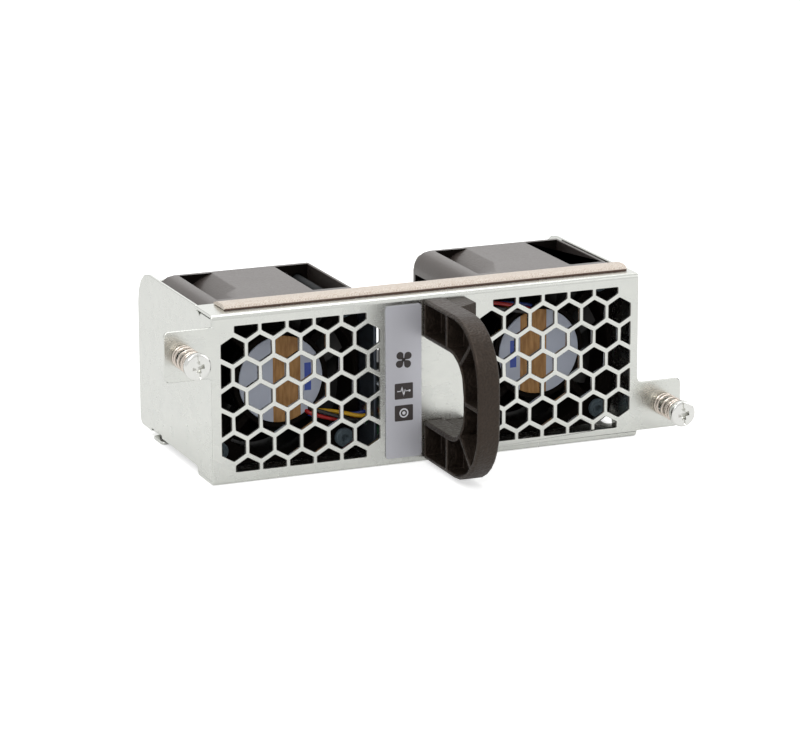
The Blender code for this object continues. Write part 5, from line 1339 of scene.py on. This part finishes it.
@dataclass
class HubSticker:
    """The round sticker on a motor base: grey film with a gold band and a blue bar."""

    bench: Bench
    side: Side
    gold_band: Flat = (-2.0 * MM, 5.0 * MM)
    blue_bar: Flat = (6.0 * MM, 7.7 * MM)
    bar_half_height: float = 3.4 * MM

    def material(self, x: float, z: float) -> bpy.types.Material:
        """The sticker's material, turned with its fan.

        Args:
            x: The sticker's centre along X.
            z: The sticker's centre along Z.

        Returns:
            The material.
        """
        made, graph, shader = new_material(f"hub_sticker_{self.side.word}")
        split = graph.add("ShaderNodeSeparateXYZ")
        graph.feed(split.inputs[0], graph.add("ShaderNodeTexCoord").outputs["Object"])
        sign = -float(self.side.value)
        across = graph.maths("MULTIPLY", graph.maths("SUBTRACT", split.outputs["X"], x), sign)
        up = graph.maths("MULTIPLY", graph.maths("SUBTRACT", split.outputs["Z"], z), sign)
        band = self._between(graph, across, *self.gold_band)
        bar = graph.maths("MULTIPLY", self._between(graph, across, *self.blue_bar),
                          self._between(graph, up, -self.bar_half_height, self.bar_half_height))
        foil = graph.add("ShaderNodeTexNoise")
        foil.inputs["Scale"].default_value = 1.0
        foil.inputs["Detail"].default_value = 4.0
        brushed = graph.add("ShaderNodeVectorMath", operation="MULTIPLY")
        graph.feed(brushed.inputs[0], graph.add("ShaderNodeTexCoord").outputs["Object"])
        brushed.inputs[1].default_value = (1500.0, 900.0, 260.0)
        graph.feed(foil.inputs["Vector"], brushed.outputs[0])
        ruled = graph.blend(graph.ramp(foil.outputs["Fac"], 0.3, 0.7), linear((132, 92, 46)),
                            linear((172, 128, 76)))
        film = graph.add("ShaderNodeGroup", node_tree=EFFECTS.grain(Grain.FILM))
        film.inputs["Size"].default_value = 0.15 * MM
        plain = graph.blend(film.outputs["Mask"], linear((196, 202, 216)), linear((178, 184, 200)))
        colour = graph.blend(bar, graph.blend(band, plain, ruled), linear((58, 82, 172)))
        graph.feed(shader.inputs["Base Color"], colour)
        graph.feed(shader.inputs["Roughness"], graph.ramp(film.outputs["Mask"], 0.0, 1.0, 0.26, 0.4))
        graph.feed(shader.inputs["Metallic"], graph.maths("MULTIPLY", band, 0.35))
        bump = graph.add("ShaderNodeBump")
        bump.inputs["Distance"].default_value = 0.02 * MM
        graph.feed(bump.inputs["Height"], foil.outputs["Fac"])
        graph.feed(shader.inputs["Normal"], bump.outputs["Normal"])
        return made

    @staticmethod
    def _between(graph: Graph, value: Socket, low: float, high: float) -> Socket:
        """1 where a value lies between two limits."""
        above = graph.maths("GREATER_THAN", value, low)
        return graph.maths("MULTIPLY", above, graph.maths("LESS_THAN", value, high))

    def build(self) -> None:
        """Build the disc with a slightly turned-down rim."""
        node = f"hub_label_{self.side.word}"
        low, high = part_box(node)
        centre = (low + high) / 2
        radius = (high.x - low.x) / 2
        lip = 0.08 * MM
        profile = [(0.0, low.y), (radius - 4 * lip, low.y), (radius - lip, low.y + lip * 0.4),
                   (radius, low.y + 2 * lip), (radius, high.y), (0.0, high.y)]
        disc = self.bench.lathe(f"hub_sticker_{self.side.word}", profile, (centre.x, centre.z),
                                LABEL_FILM, 72)
        disc.data.materials[0] = self.material(centre.x, centre.z)
        self.bench.place(disc, "tray", "label", node)


@dataclass
class Impeller:
    """A fan's hub with seven twisted blades, its magnet cup, shaft and clip."""

    bench: Bench
    repeater: Repeater
    side: Side
    blades: int = 7
    hub_wall: float = 0.7 * MM
    cup_gap: float = 0.4 * MM
    sweep: float = math.radians(94.0)
    narrowing: float = 0.04
    camber: float = math.radians(7.0)
    lean: float = math.radians(9.0)
    chord: float = 18.0 * MM
    start_gap: float = 1.6 * MM
    thickness: float = 0.9 * MM
    chord_steps: int = 26
    span_steps: int = 8

    def build(self) -> None:
        """Build the turning pieces."""
        word, body = self.side.word, f"rotor_{self.side.word}"
        low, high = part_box(f"impeller_{word}")
        cup_low, cup_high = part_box(f"magnet_yoke_{word}")
        centre = (low + high) / 2
        hub_radius = (cup_high.x - cup_low.x) / 2 + self.cup_gap + self.hub_wall
        blade = self._blade(hub_radius, (high.x - low.x) / 2, low.y)
        axis = (centre.x, 0.0, centre.z)
        ring = self.repeater.around(blade, self.blades, axis, BLADE_PLASTIC, "blade_ring")
        hub = self._hub(centre, hub_radius, low.y, high.y)
        wheel = self.bench.joined(f"impeller_wheel_{word}", [hub, ring])
        self.bench.place(wheel, body, "black_fan", f"impeller_{word}")
        for node, finish, slot, edge in (
                (f"magnet_yoke_{word}", MAGNET, "magnet", 0.1 * MM),
                (f"shaft_{word}", NICKEL, "steel", 0.1 * MM),
                (f"shaft_clip_{word}", NICKEL, "steel", 0.05 * MM)):
            self.bench.dress(node, finish, slot, edge, body)

    def _blade(self, hub: float, tip: float, start: float) -> bpy.types.Object:
        """One blade at the origin: a twisted, cambered sheet with a rounded nose and a thin tail.

        Args:
            hub: The hub's radius.
            tip: The tip's radius.
            start: Where the hub starts along Y.

        Returns:
            The blade.
        """
        root = hub - self.hub_wall / 2
        bm = bmesh.new()
        rows = []
        for j in range(self.span_steps + 1):
            out = j / self.span_steps
            radius = root + (tip - root) * out
            loop = []
            for face in (0, 1):
                for i in range(self.chord_steps + 1):
                    along = i / self.chord_steps if face == 0 else 1.0 - i / self.chord_steps
                    if face == 1 and i in (0, self.chord_steps):
                        continue
                    camber = math.sin(math.pi * along) * self.camber
                    body = math.sqrt(max(0.0, math.sin(math.pi * min(1.0, along ** 0.75))))
                    angle = self.sweep * (along - 0.5) * (1 - self.narrowing * out)
                    angle += camber + self.lean * out + (face - 0.5) * self.thickness * body / radius
                    y = start + self.start_gap + self.chord * along
                    loop.append(bm.verts.new((radius * math.cos(angle), y, radius * math.sin(angle))))
            rows.append(loop)
        self.bench.skin(bm, rows)
        return self.bench.from_bmesh("blade", bm, BLADE_PLASTIC, angle=50.0)

    def _hub(self, centre: Vector, radius: float, start: float, end: float) -> bpy.types.Object:
        """The cup-shaped hub with a round shoulder and a bored boss."""
        inner = radius - self.hub_wall
        boss, bore, boss_length, base = 3.0 * MM, 1.15 * MM, 4.5 * MM, 2.0 * MM
        shoulder, chamfer, dimple, steps = 1.8 * MM, 0.15 * MM, 0.35 * MM, 8
        profile = [(inner, start), (inner + chamfer, start), (radius - chamfer * 0.8, start),
                   (radius, start + chamfer)]
        for angle in (QUARTER * i / steps for i in range(steps + 1)):
            profile.append((radius - shoulder + shoulder * math.cos(angle),
                            end - shoulder + shoulder * math.sin(angle)))
        profile += [(radius * 0.62, end), (radius * 0.6, end - dimple), (boss * 1.3, end - dimple),
                    (boss * 1.2, end), (bore, end), (bore, end - boss_length), (boss, end - boss_length),
                    (boss, end - base), (inner, end - base)]
        return self.bench.lathe("hub", profile, (centre.x, centre.z), BLADE_PLASTIC, 72, True)


@dataclass
class FanBody:
    """What stays still in a fan: frame, sticker, motor, rubber pins and its wires."""

    bench: Bench
    repeater: Repeater
    side: Side
    frame_edge: float = 0.22 * MM
    wire_radius: float = 0.5 * MM
    bundle_radius: float = 0.86 * MM
    bundle_turns: float = -1.0

    def build(self) -> None:
        """Build the fan's still pieces."""
        word = self.side.word
        housing = self.bench.refined(f"fan_housing_{word}", FAN_PLASTIC, self.frame_edge, 3, 35.0,
                                     f"fan_frame_{word}")
        self._paint_shade_inside(housing)
        self.bench.place(housing, "tray", "black_fan", f"fan_housing_{word}")
        HubSticker(self.bench, self.side).build()
        self._motor(word)
        for number in range(1, 5):
            self._pin(f"fan_pin_{word}_{number}")
        self._wires(word)
        self._plug(word)

    def _paint_shade_inside(self, housing: bpy.types.Object) -> None:
        """Give the bore, the struts and every face that looks forward, such as the flanges' inner sides, a
        darker, rougher and less glossy copy of the fan plastic: painted shade.
        """
        housing.data.materials.append(FAN_PLASTIC_PAINTED_SHADE.material())
        low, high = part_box(f"fan_housing_{self.side.word}")
        x, z = axis_of(low, high)
        bore = (high.x - low.x) / 2 - 0.6 * MM
        for polygon in housing.data.polygons:
            centre = polygon.center
            within = math.hypot(centre.x - x, centre.z - z) < bore
            if within or polygon.normal.y < -0.5:
                polygon.material_index = 1

    def _motor(self, word: str) -> None:
        """The driver board, the stator and the bearings."""
        self.bench.dress(f"driver_board_{word}", MASK_GREEN, "board", 0.08 * MM, segments=1, merge_flat=False)
        self.bench.dress(f"stator_{word}", LAMINATION, "lamination", 0.1 * MM, segments=1)
        for place in ("front", "rear"):
            self.bench.dress(f"bearing_{place}_{word}", NICKEL, "steel", 0.12 * MM)

    def _pin(self, node: str) -> None:
        """A rubber pin: ringed hollow head, shank, barb and pull tail. The shank is painted near black as the
        shade in the frame's pocket.

        Args:
            node: The CAD pin's name.
        """
        low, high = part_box(node)
        x, z = axis_of(low, high)
        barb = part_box("fan_housing_left")[1].y + 1.25 * MM
        head, shank, lip = 2.33 * MM, 1.48 * MM, 1.5 * MM
        start = low.y
        face = [(0.0, 1.25), (0.62, 1.2), (0.78, 0.9), (0.82, 0.25), (0.95, 0.05), (1.15, 0.0), (1.45, 0.05),
                (1.55, 0.28), (1.72, 0.3), (1.85, 0.2), (2.1, 0.28)]
        tail = [(2.48, 0.0), (2.3, 0.5), (1.1, 1.8), (0.88, 2.2)]
        profile = [(r * MM, start + y * MM) for r, y in face]
        profile += [(head, start + 0.6 * MM), (head, start + lip - 0.2 * MM), (head - 0.2 * MM, start + lip),
                    (shank, start + lip), (shank, barb)]
        profile += [(r * MM, barb + y * MM) for r, y in tail]
        profile += [(0.9 * MM, high.y - 0.3 * MM), (0.6 * MM, high.y), (0.0, high.y)]
        pin = self.bench.lathe(f"{node}_finished", profile, (x, z), RUBBER, 32)
        # The shank takes the near-black copy of the rubber: painted shade of the pocket round it.
        pin.data.materials.append(RUBBER_PAINTED_SHADE.material())
        for polygon in pin.data.polygons:
            if start + lip < polygon.center.y < barb + 0.1 * MM:
                polygon.material_index = 1
        self.bench.place(pin, "tray", "rubber", node)

    def _wires(self, word: str) -> None:
        """Four insulated wires that turn round each other along the lead's route."""
        route = bundle_route(self.side)
        lengths = [0.0]
        for first, second in zip(route, route[1:]):
            lengths.append(lengths[-1] + (second - first).length)
        first_angle = math.radians(190.0 if self.side is Side.LEFT else 18.0)
        upright, across = Vector((0.0, 0.0, 1.0)), Vector((1.0, 0.0, 0.0))
        loose, beat, shift = 0.1, 9.0, 1.7
        for number, (colour, finish) in enumerate(WIRES.items()):
            points = []
            for i, point in enumerate(route):
                before, after = route[max(0, i - 1)], route[min(len(route) - 1, i + 1)]
                along = (after - before).normalized()
                side_way = along.cross(upright)
                side_way = side_way.normalized() if side_way.length > 1e-4 else across
                up = side_way.cross(along)
                share = lengths[i] / lengths[-1]
                angle = first_angle + QUARTER * number + 2 * math.pi * self.bundle_turns * share
                spread = self.bundle_radius * (1.0 + loose * math.sin(share * beat + number * shift))
                points.append(point + (side_way * math.cos(angle) + up * math.sin(angle)) * spread)
            wire = self.repeater.wire(points, self.wire_radius, finish, f"fan_wire_{colour}_{word}")
            self.bench.place(wire, "tray", "wire", f"fan_lead_{word}")

    def _plug(self, word: str) -> None:
        """The crimp plug and its header, with their contacts."""
        for kind in ("plug", "header"):
            self.bench.dress(f"fan_{kind}_{word}", IVORY, "ivory", 0.15 * MM)
        low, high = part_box(f"fan_plug_{word}")
        pitch, count, length = 1.25 * MM, 4, 2.2 * MM
        outline = rounded_box(0.0, 0.0, 0.7 * MM, 0.5 * MM, 0.1 * MM)
        slot = self.bench.prism("crimp", outline, 0.0, length, SOLDER)
        middle = (low.x + high.x) / 2
        start = (middle - pitch * (count - 1) / 2, low.y + 1.2 * MM, high.z - 0.22 * MM)
        row = self.repeater.along(slot, count, start, (pitch, 0.0, 0.0), SOLDER, f"plug_crimps_{word}")
        self.bench.place(row, "tray", "ivory")


def bundle_route(side: Side) -> list[Vector]:
    """The fan lead's own points: the CAD's, with the start led over the motor's rim.

    Args:
        side: Which fan.

    Returns:
        Points along the lead, from the motor to its plug.
    """
    toward = -side.value
    fan_low, fan_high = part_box(f"fan_housing_{side.word}")
    hub_x, fan_z = axis_of(fan_low, fan_high)
    flip = 1.0 if side is Side.LEFT else -1.0
    leave, rim = math.radians(50.0 if side is Side.LEFT else 74.0), 12.0 * MM
    start_y, out_drop = 12.9 * MM, 0.08
    start_u, start_v = math.cos(leave) * (rim - 1.4 * MM), math.sin(leave) * (rim - 1.4 * MM)
    exit_u, exit_v = math.cos(leave) * (rim + 1.6 * MM), math.sin(leave) * (rim - 0.2 * MM)
    out_y, out_z, bend, inset = 9.6 * MM, 10.6 * MM, 3.6 * MM, 1.9 * MM
    wall, header_x, plug_front, plug_z = 12.8 * MM, 7.2 * MM, 19.9 * MM, -12.2 * MM
    hole_z = fan_z - flip * out_z
    slack = 0.0 if side is Side.LEFT else 2.6 * MM
    points = [
        (hub_x + toward * start_u, start_y, fan_z - flip * start_v),
        (hub_x + toward * exit_u, out_y + 0.9 * MM, fan_z - flip * exit_v),
        (-toward * (wall + bend + slack), out_y, hole_z + slack),
        (-toward * wall, out_y, hole_z),
        (-toward * (wall - inset), out_y + 1.4 * MM, hole_z + (plug_z - hole_z) * out_drop),
        (-toward * (wall - inset), out_y + bend, (hole_z + plug_z) / 2),
        (-toward * (wall - inset), plug_front - bend, plug_z),
        (-toward * header_x, plug_front - 1.2 * MM, plug_z),
        (-toward * header_x, plug_front + 1.0 * MM, plug_z),
    ]
    return smooth_route([Vector(p) for p in points], 8)


def smooth_route(points: Sequence[Vector], count: int) -> list[Vector]:
    """Points along a Catmull-Rom curve.

    Args:
        points: The curve's own points.
        count: How many steps between two of them.

    Returns:
        The curve's points.
    """
    padded = [points[0], *points, points[-1]]
    route = []
    for i in range(1, len(padded) - 2):
        p0, p1, p2, p3 = padded[i - 1:i + 3]
        for k in range(count):
            t = k / count
            route.append(0.5 * (2 * p1 + (p2 - p0) * t + (2 * p0 - 5 * p1 + 4 * p2 - p3) * t ** 2
                                + (3 * p1 - p0 - 3 * p2 + p3) * t ** 3))
    route.append(points[-1].copy())
    return route


@dataclass
class CaptiveScrew:
    """A captive screw: recessed head, shouldered body, spring and keeper ring."""

    bench: Bench
    repeater: Repeater
    side: Side
    slot_angle: float = 84.0
    turns: float = 5.0
    head: float = 1.8 * MM
    collar: float = 1.0 * MM
    wire: float = 0.3 * MM
    coil_radius: float = 2.56 * MM
    travel: float = 4.0 * MM

    def build(self) -> None:
        """Build the screw, the spring and the ring."""
        word = self.side.word
        self._screw(word)
        self.bench.dress(f"captive_ring_{word}", NICKEL, "steel", 0.08 * MM, f"ring_{word}")
        self._spring(word)

    def _screw(self, word: str) -> None:
        """The screw: head with a slot and a cross recess, collar, barrel, neck and thread."""
        node = f"captive_screw_{word}"
        low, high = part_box(node)
        x, z = axis_of(low, high)
        head, under, collar_end = low.y, low.y + self.head, low.y + self.head + self.collar
        radius, barrel, shank, neck = (high.x - low.x) / 2, 2.2 * MM, 1.5 * MM, 1.1 * MM
        barrel_end, ring_front, ring_rear = -4.3 * MM, 0.88 * MM, 1.52 * MM
        flange, chamfer = 2.62 * MM, 0.12 * MM
        profile = [(0.0, head), (radius - 0.62 * MM, head), (radius - 0.3 * MM, head + 0.06 * MM),
                   (radius - 0.08 * MM, head + 0.24 * MM), (radius, head + 0.5 * MM),
                   (radius, under - 0.3 * MM), (radius - 0.12 * MM, under - 0.08 * MM),
                   (radius - 0.34 * MM, under), (flange, under), (flange, collar_end - chamfer),
                   (flange - chamfer, collar_end), (barrel, collar_end), (barrel, barrel_end),
                   (shank, barrel_end + 0.35 * MM), (shank, ring_front), (neck, ring_front),
                   (neck, ring_rear), (shank, ring_rear)]
        pitch, depth = 0.5 * MM, 0.22 * MM
        crest = ring_rear + pitch / 2
        while crest < high.y - 1.0 * MM:
            profile += [(shank, crest), (shank - depth, crest + pitch / 2)]
            crest += pitch
        profile += [(shank, high.y - 0.75 * MM), (shank * 0.5, high.y), (0.0, high.y)]
        screw = self.bench.lathe(f"{node}_finished", profile, (x, z), NICKEL, 48)
        turn = math.radians(self.slot_angle)
        slot, recess = (radius * 2.2, 0.55 * MM, 0.4 * MM), (3.1 * MM, 1.1 * MM, 1.2 * MM)
        cutters = [self._bar(x, z, head, angle, *size)
                   for angle, size in ((turn, slot), (turn, recess), (turn + QUARTER, recess))]
        self.bench.place(self.bench.carved(screw, cutters), f"screw_{word}", "steel", node)

    def _bar(self, x: float, z: float, head: float, turn: float, length: float, width: float,
             depth: float) -> bpy.types.Object:
        """A bar across the head, narrower at its bottom, to cut a slot.

        Args:
            x: The screw's axis along X.
            z: The screw's axis along Z.
            head: Where the head starts along Y.
            turn: The bar's angle in the head's plane.
            length: Its length.
            width: Its width at the head's face.
            depth: How deep it reaches.

        Returns:
            The bar.
        """
        over, taper = 0.3 * MM, 0.7
        bm = bmesh.new()
        bmesh.ops.create_cube(bm, size=1.0)
        for vert in bm.verts:
            deep = vert.co.y > 0
            share = taper if deep else 1.0
            vert.co = Vector((vert.co.x * length * share, depth if deep else -over,
                              vert.co.z * width * share))
        bmesh.ops.recalc_face_normals(bm, faces=bm.faces)
        bmesh.ops.transform(bm, matrix=Matrix.Translation((x, head, z)) @ Matrix.Rotation(turn, 4, "Y"),
                            verts=bm.verts)
        return self.bench.from_bmesh("slot_cutter", bm, NICKEL)

    def _spring(self, word: str) -> None:
        """The coil spring between the ear and the screw's collar."""
        node = f"captive_spring_{word}"
        low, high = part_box(node)
        x, z = axis_of(low, high)
        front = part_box(f"captive_screw_{word}")[0].y + self.head + self.collar + 0.03 * MM
        length = high.y - front
        spring = self.repeater.coil(self.turns, self.coil_radius, self.wire, (x, high.y - self.wire, z),
                                    length - 2 * self.wire, SPRING, f"coil_spring_{word}")
        spring.data.validate()
        self.bench.place(spring, "tray", "spring", node)
        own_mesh(spring)


@dataclass
class Electronics:
    """The board with its parts, the light guide, the supports and the rear socket."""

    bench: Bench
    repeater: Repeater

    def build(self) -> None:
        """Build the pieces in the centre channel."""
        for node, finish, slot, edge in (
                ("fan_board", MASK_GREEN, "board", 0.08 * MM),
                ("board_support_front", IVORY, "ivory", 0.12 * MM),
                ("board_support_rear", IVORY, "ivory", 0.12 * MM),
                ("light_guide", ACRYLIC, "acrylic", 0.15 * MM),
                ("rear_connector", SOCKET, "connector", 0.15 * MM)):
            self.bench.dress(node, finish, slot, edge, merge_flat=node != "fan_board")
        self._small_parts()
        self._contacts()

    def _small_parts(self) -> None:
        """Resistors and solder pads in rows on the board."""
        low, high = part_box("fan_board")
        thickness = 1.0 * MM
        top = low.z + thickness
        rows = []
        for name, finish, size, count, start, pitch in (
                ("board_resistors", CHIP, (1.0, 0.5, 0.4), 5, (-4.0, -4.6, 0.2), 2.0),
                ("board_pads", SOLDER, (0.5, 0.9, 0.1), 10, (-5.4, -7.0, 0.05), 1.2)):
            part = self._block(size, finish)
            x, y, z = (value * MM for value in start)
            rows.append(self.repeater.along(part, count, (x, high.y + y, top + z), (pitch * MM, 0.0, 0.0),
                                            finish, name))
        self.bench.place(self.bench.joined("board_small_parts", rows), "tray", "board")

    def _block(self, size: Point, finish: Finish) -> bpy.types.Object:
        """A small block with soft edges, at the origin, of a size in millimetres."""
        return self.bench.block("block", [value * MM for value in size], min(size) * MM * 0.15, finish)

    def _contacts(self) -> None:
        """Gold contacts over the socket's blades."""
        low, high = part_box("rear_connector")
        pitch, count = 1.6 * MM, 5
        blade = self._block((0.72, 4.6, 0.12), GOLD)
        start = (-pitch * (count - 1) / 2, high.y - 3.6 * MM, (low.z + high.z) / 2 + 1.58 * MM)
        row = self.repeater.along(blade, count, start, (pitch, 0.0, 0.0), GOLD, "socket_contacts")
        self.bench.place(row, "tray", "connector")


@dataclass(frozen=True)
class Lamp:
    """One square soft light that faces the tray."""

    name: str
    at: Point
    size: float
    power: float
    on_matt: bool = True

    def build(self) -> None:
        """Put the light in the scene."""
        data = bpy.data.lights.new(self.name, "AREA")
        data.shape = "SQUARE"
        data.size = self.size
        data.energy = self.power
        lamp = linked(self.name, data)
        lamp.location = self.at
        lamp.rotation_euler = (-Vector(self.at)).to_track_quat("-Z", "Y").to_euler()
        lamp.visible_diffuse = self.on_matt


LAMPS = (
    Lamp("key_light", (-0.55, -0.75, 0.85), 0.55, 4.25),
    Lamp("fill_light", (0.8, -0.55, 0.45), 0.7, 1.6),
    Lamp("top_light", (0.05, 0.25, 0.95), 0.8, 4.0),
    Lamp("back_light", (0.48, 1.15, 0.5), 0.8, 0.6, False),
)


@dataclass
class Studio:
    """The pale floor, the soft lights and the camera."""

    lens: float = 166.24
    camera_at: Point = (-333.25 * MM, -782.47 * MM, 226.25 * MM)
    yaw: float = math.radians(22.584)
    pitch: float = math.radians(14.823)
    roll: float = math.radians(-0.1515)
    floor_half: float = 3.0
    floor_gap: float = 0.05 * MM
    floor_grey: float = 0.86
    floor_to_camera: float = 0.6
    floor_to_gloss: float = 0.2
    sky_diffuse: float = 0.45
    sky_gloss: float = 0.85

    def build(self) -> None:
        """Build the stage."""
        self._camera()
        self._floor()
        self._world()
        for lamp in LAMPS:
            lamp.build()

    def _camera(self) -> None:
        """The camera where the photograph was taken from."""
        data = bpy.data.cameras.new("camera")
        data.lens = self.lens
        data.sensor_width = 36.0
        data.clip_start = 0.05
        data.clip_end = 50.0
        camera = linked("camera", data)
        forward = Vector((math.sin(self.yaw) * math.cos(self.pitch),
                          math.cos(self.yaw) * math.cos(self.pitch), -math.sin(self.pitch)))
        right = Vector((math.cos(self.yaw), -math.sin(self.yaw), 0.0))
        up = right.cross(forward)
        turned = right * math.cos(self.roll) + up * math.sin(self.roll)
        raised = up * math.cos(self.roll) - right * math.sin(self.roll)
        rotation = Matrix((turned, raised, -forward)).transposed().to_4x4()
        camera.matrix_world = Matrix.Translation(self.camera_at) @ rotation
        bpy.context.scene.camera = camera

    def _floor(self) -> None:
        """A white floor that keeps the object's shadow."""
        low, _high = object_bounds()
        bm = bmesh.new()
        bmesh.ops.create_grid(bm, x_segments=1, y_segments=1, size=self.floor_half)
        mesh = bpy.data.meshes.new("floor")
        bm.to_mesh(mesh)
        bm.free()
        floor = linked("floor", mesh)
        floor.location = (0.0, 0.0, low.z - self.floor_gap)
        made, graph, shader = new_material("floor_white")
        for name, value in (("Base Color", (*(self.floor_grey,) * 3, 1.0)), ("Roughness", 0.9),
                            ("Specular IOR Level", 0.1), ("Emission Color", (1.0, 1.0, 1.0, 1.0))):
            graph.feed(shader.inputs[name], value)
        path = graph.add("ShaderNodeLightPath")
        seen = graph.weighted(path.outputs["Is Camera Ray"], self.floor_to_camera,
                              path.outputs["Is Transmission Ray"], self.floor_to_camera)
        mirrored = graph.maths("MULTIPLY", path.outputs["Is Glossy Ray"], self.floor_to_gloss)
        graph.feed(shader.inputs["Emission Strength"], graph.maths("ADD", seen, mirrored))
        mesh.materials.append(made)
        floor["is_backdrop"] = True

    def _world(self) -> None:
        """White all round, softer as a light than as a background."""
        world = bpy.data.worlds.new("studio")
        world.use_nodes = True
        graph = Graph(world.node_tree)
        background = world.node_tree.nodes["Background"]
        background.inputs["Color"].default_value = (1.0, 1.0, 1.0, 1.0)
        path = graph.add("ShaderNodeLightPath")
        seen = graph.maths("ADD", path.outputs["Is Camera Ray"], path.outputs["Is Transmission Ray"],
                           clamp=True)
        mirrored = graph.ramp(path.outputs["Is Glossy Ray"], 0.0, 1.0, self.sky_diffuse, self.sky_gloss)
        graph.feed(background.inputs["Strength"], graph.maths("MAXIMUM", seen, mirrored))
        bpy.context.scene.world = world


def main() -> None:
    """Build every piece of the tray in order."""
    logging.basicConfig(level=logging.INFO, format="%(name)s: %(message)s")
    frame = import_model()
    bpy.context.scene.view_settings.view_transform = "Standard"
    bench = Bench(frame["nodes"])
    repeater = Repeater(bench)
    Studio().build()
    TraySheet(bench).build()
    Gasket(bench).build()
    LabelPlate(bench, repeater).build()
    PullHandle(bench).build()
    for side in Side:
        FanBody(bench, repeater, side).build()
        Impeller(bench, repeater, side).build()
        CaptiveScrew(bench, repeater, side).build()
    Electronics(bench, repeater).build()
    LOG.info("%d pieces placed", len(bench.made))


if __name__ == "__main__":
    main()
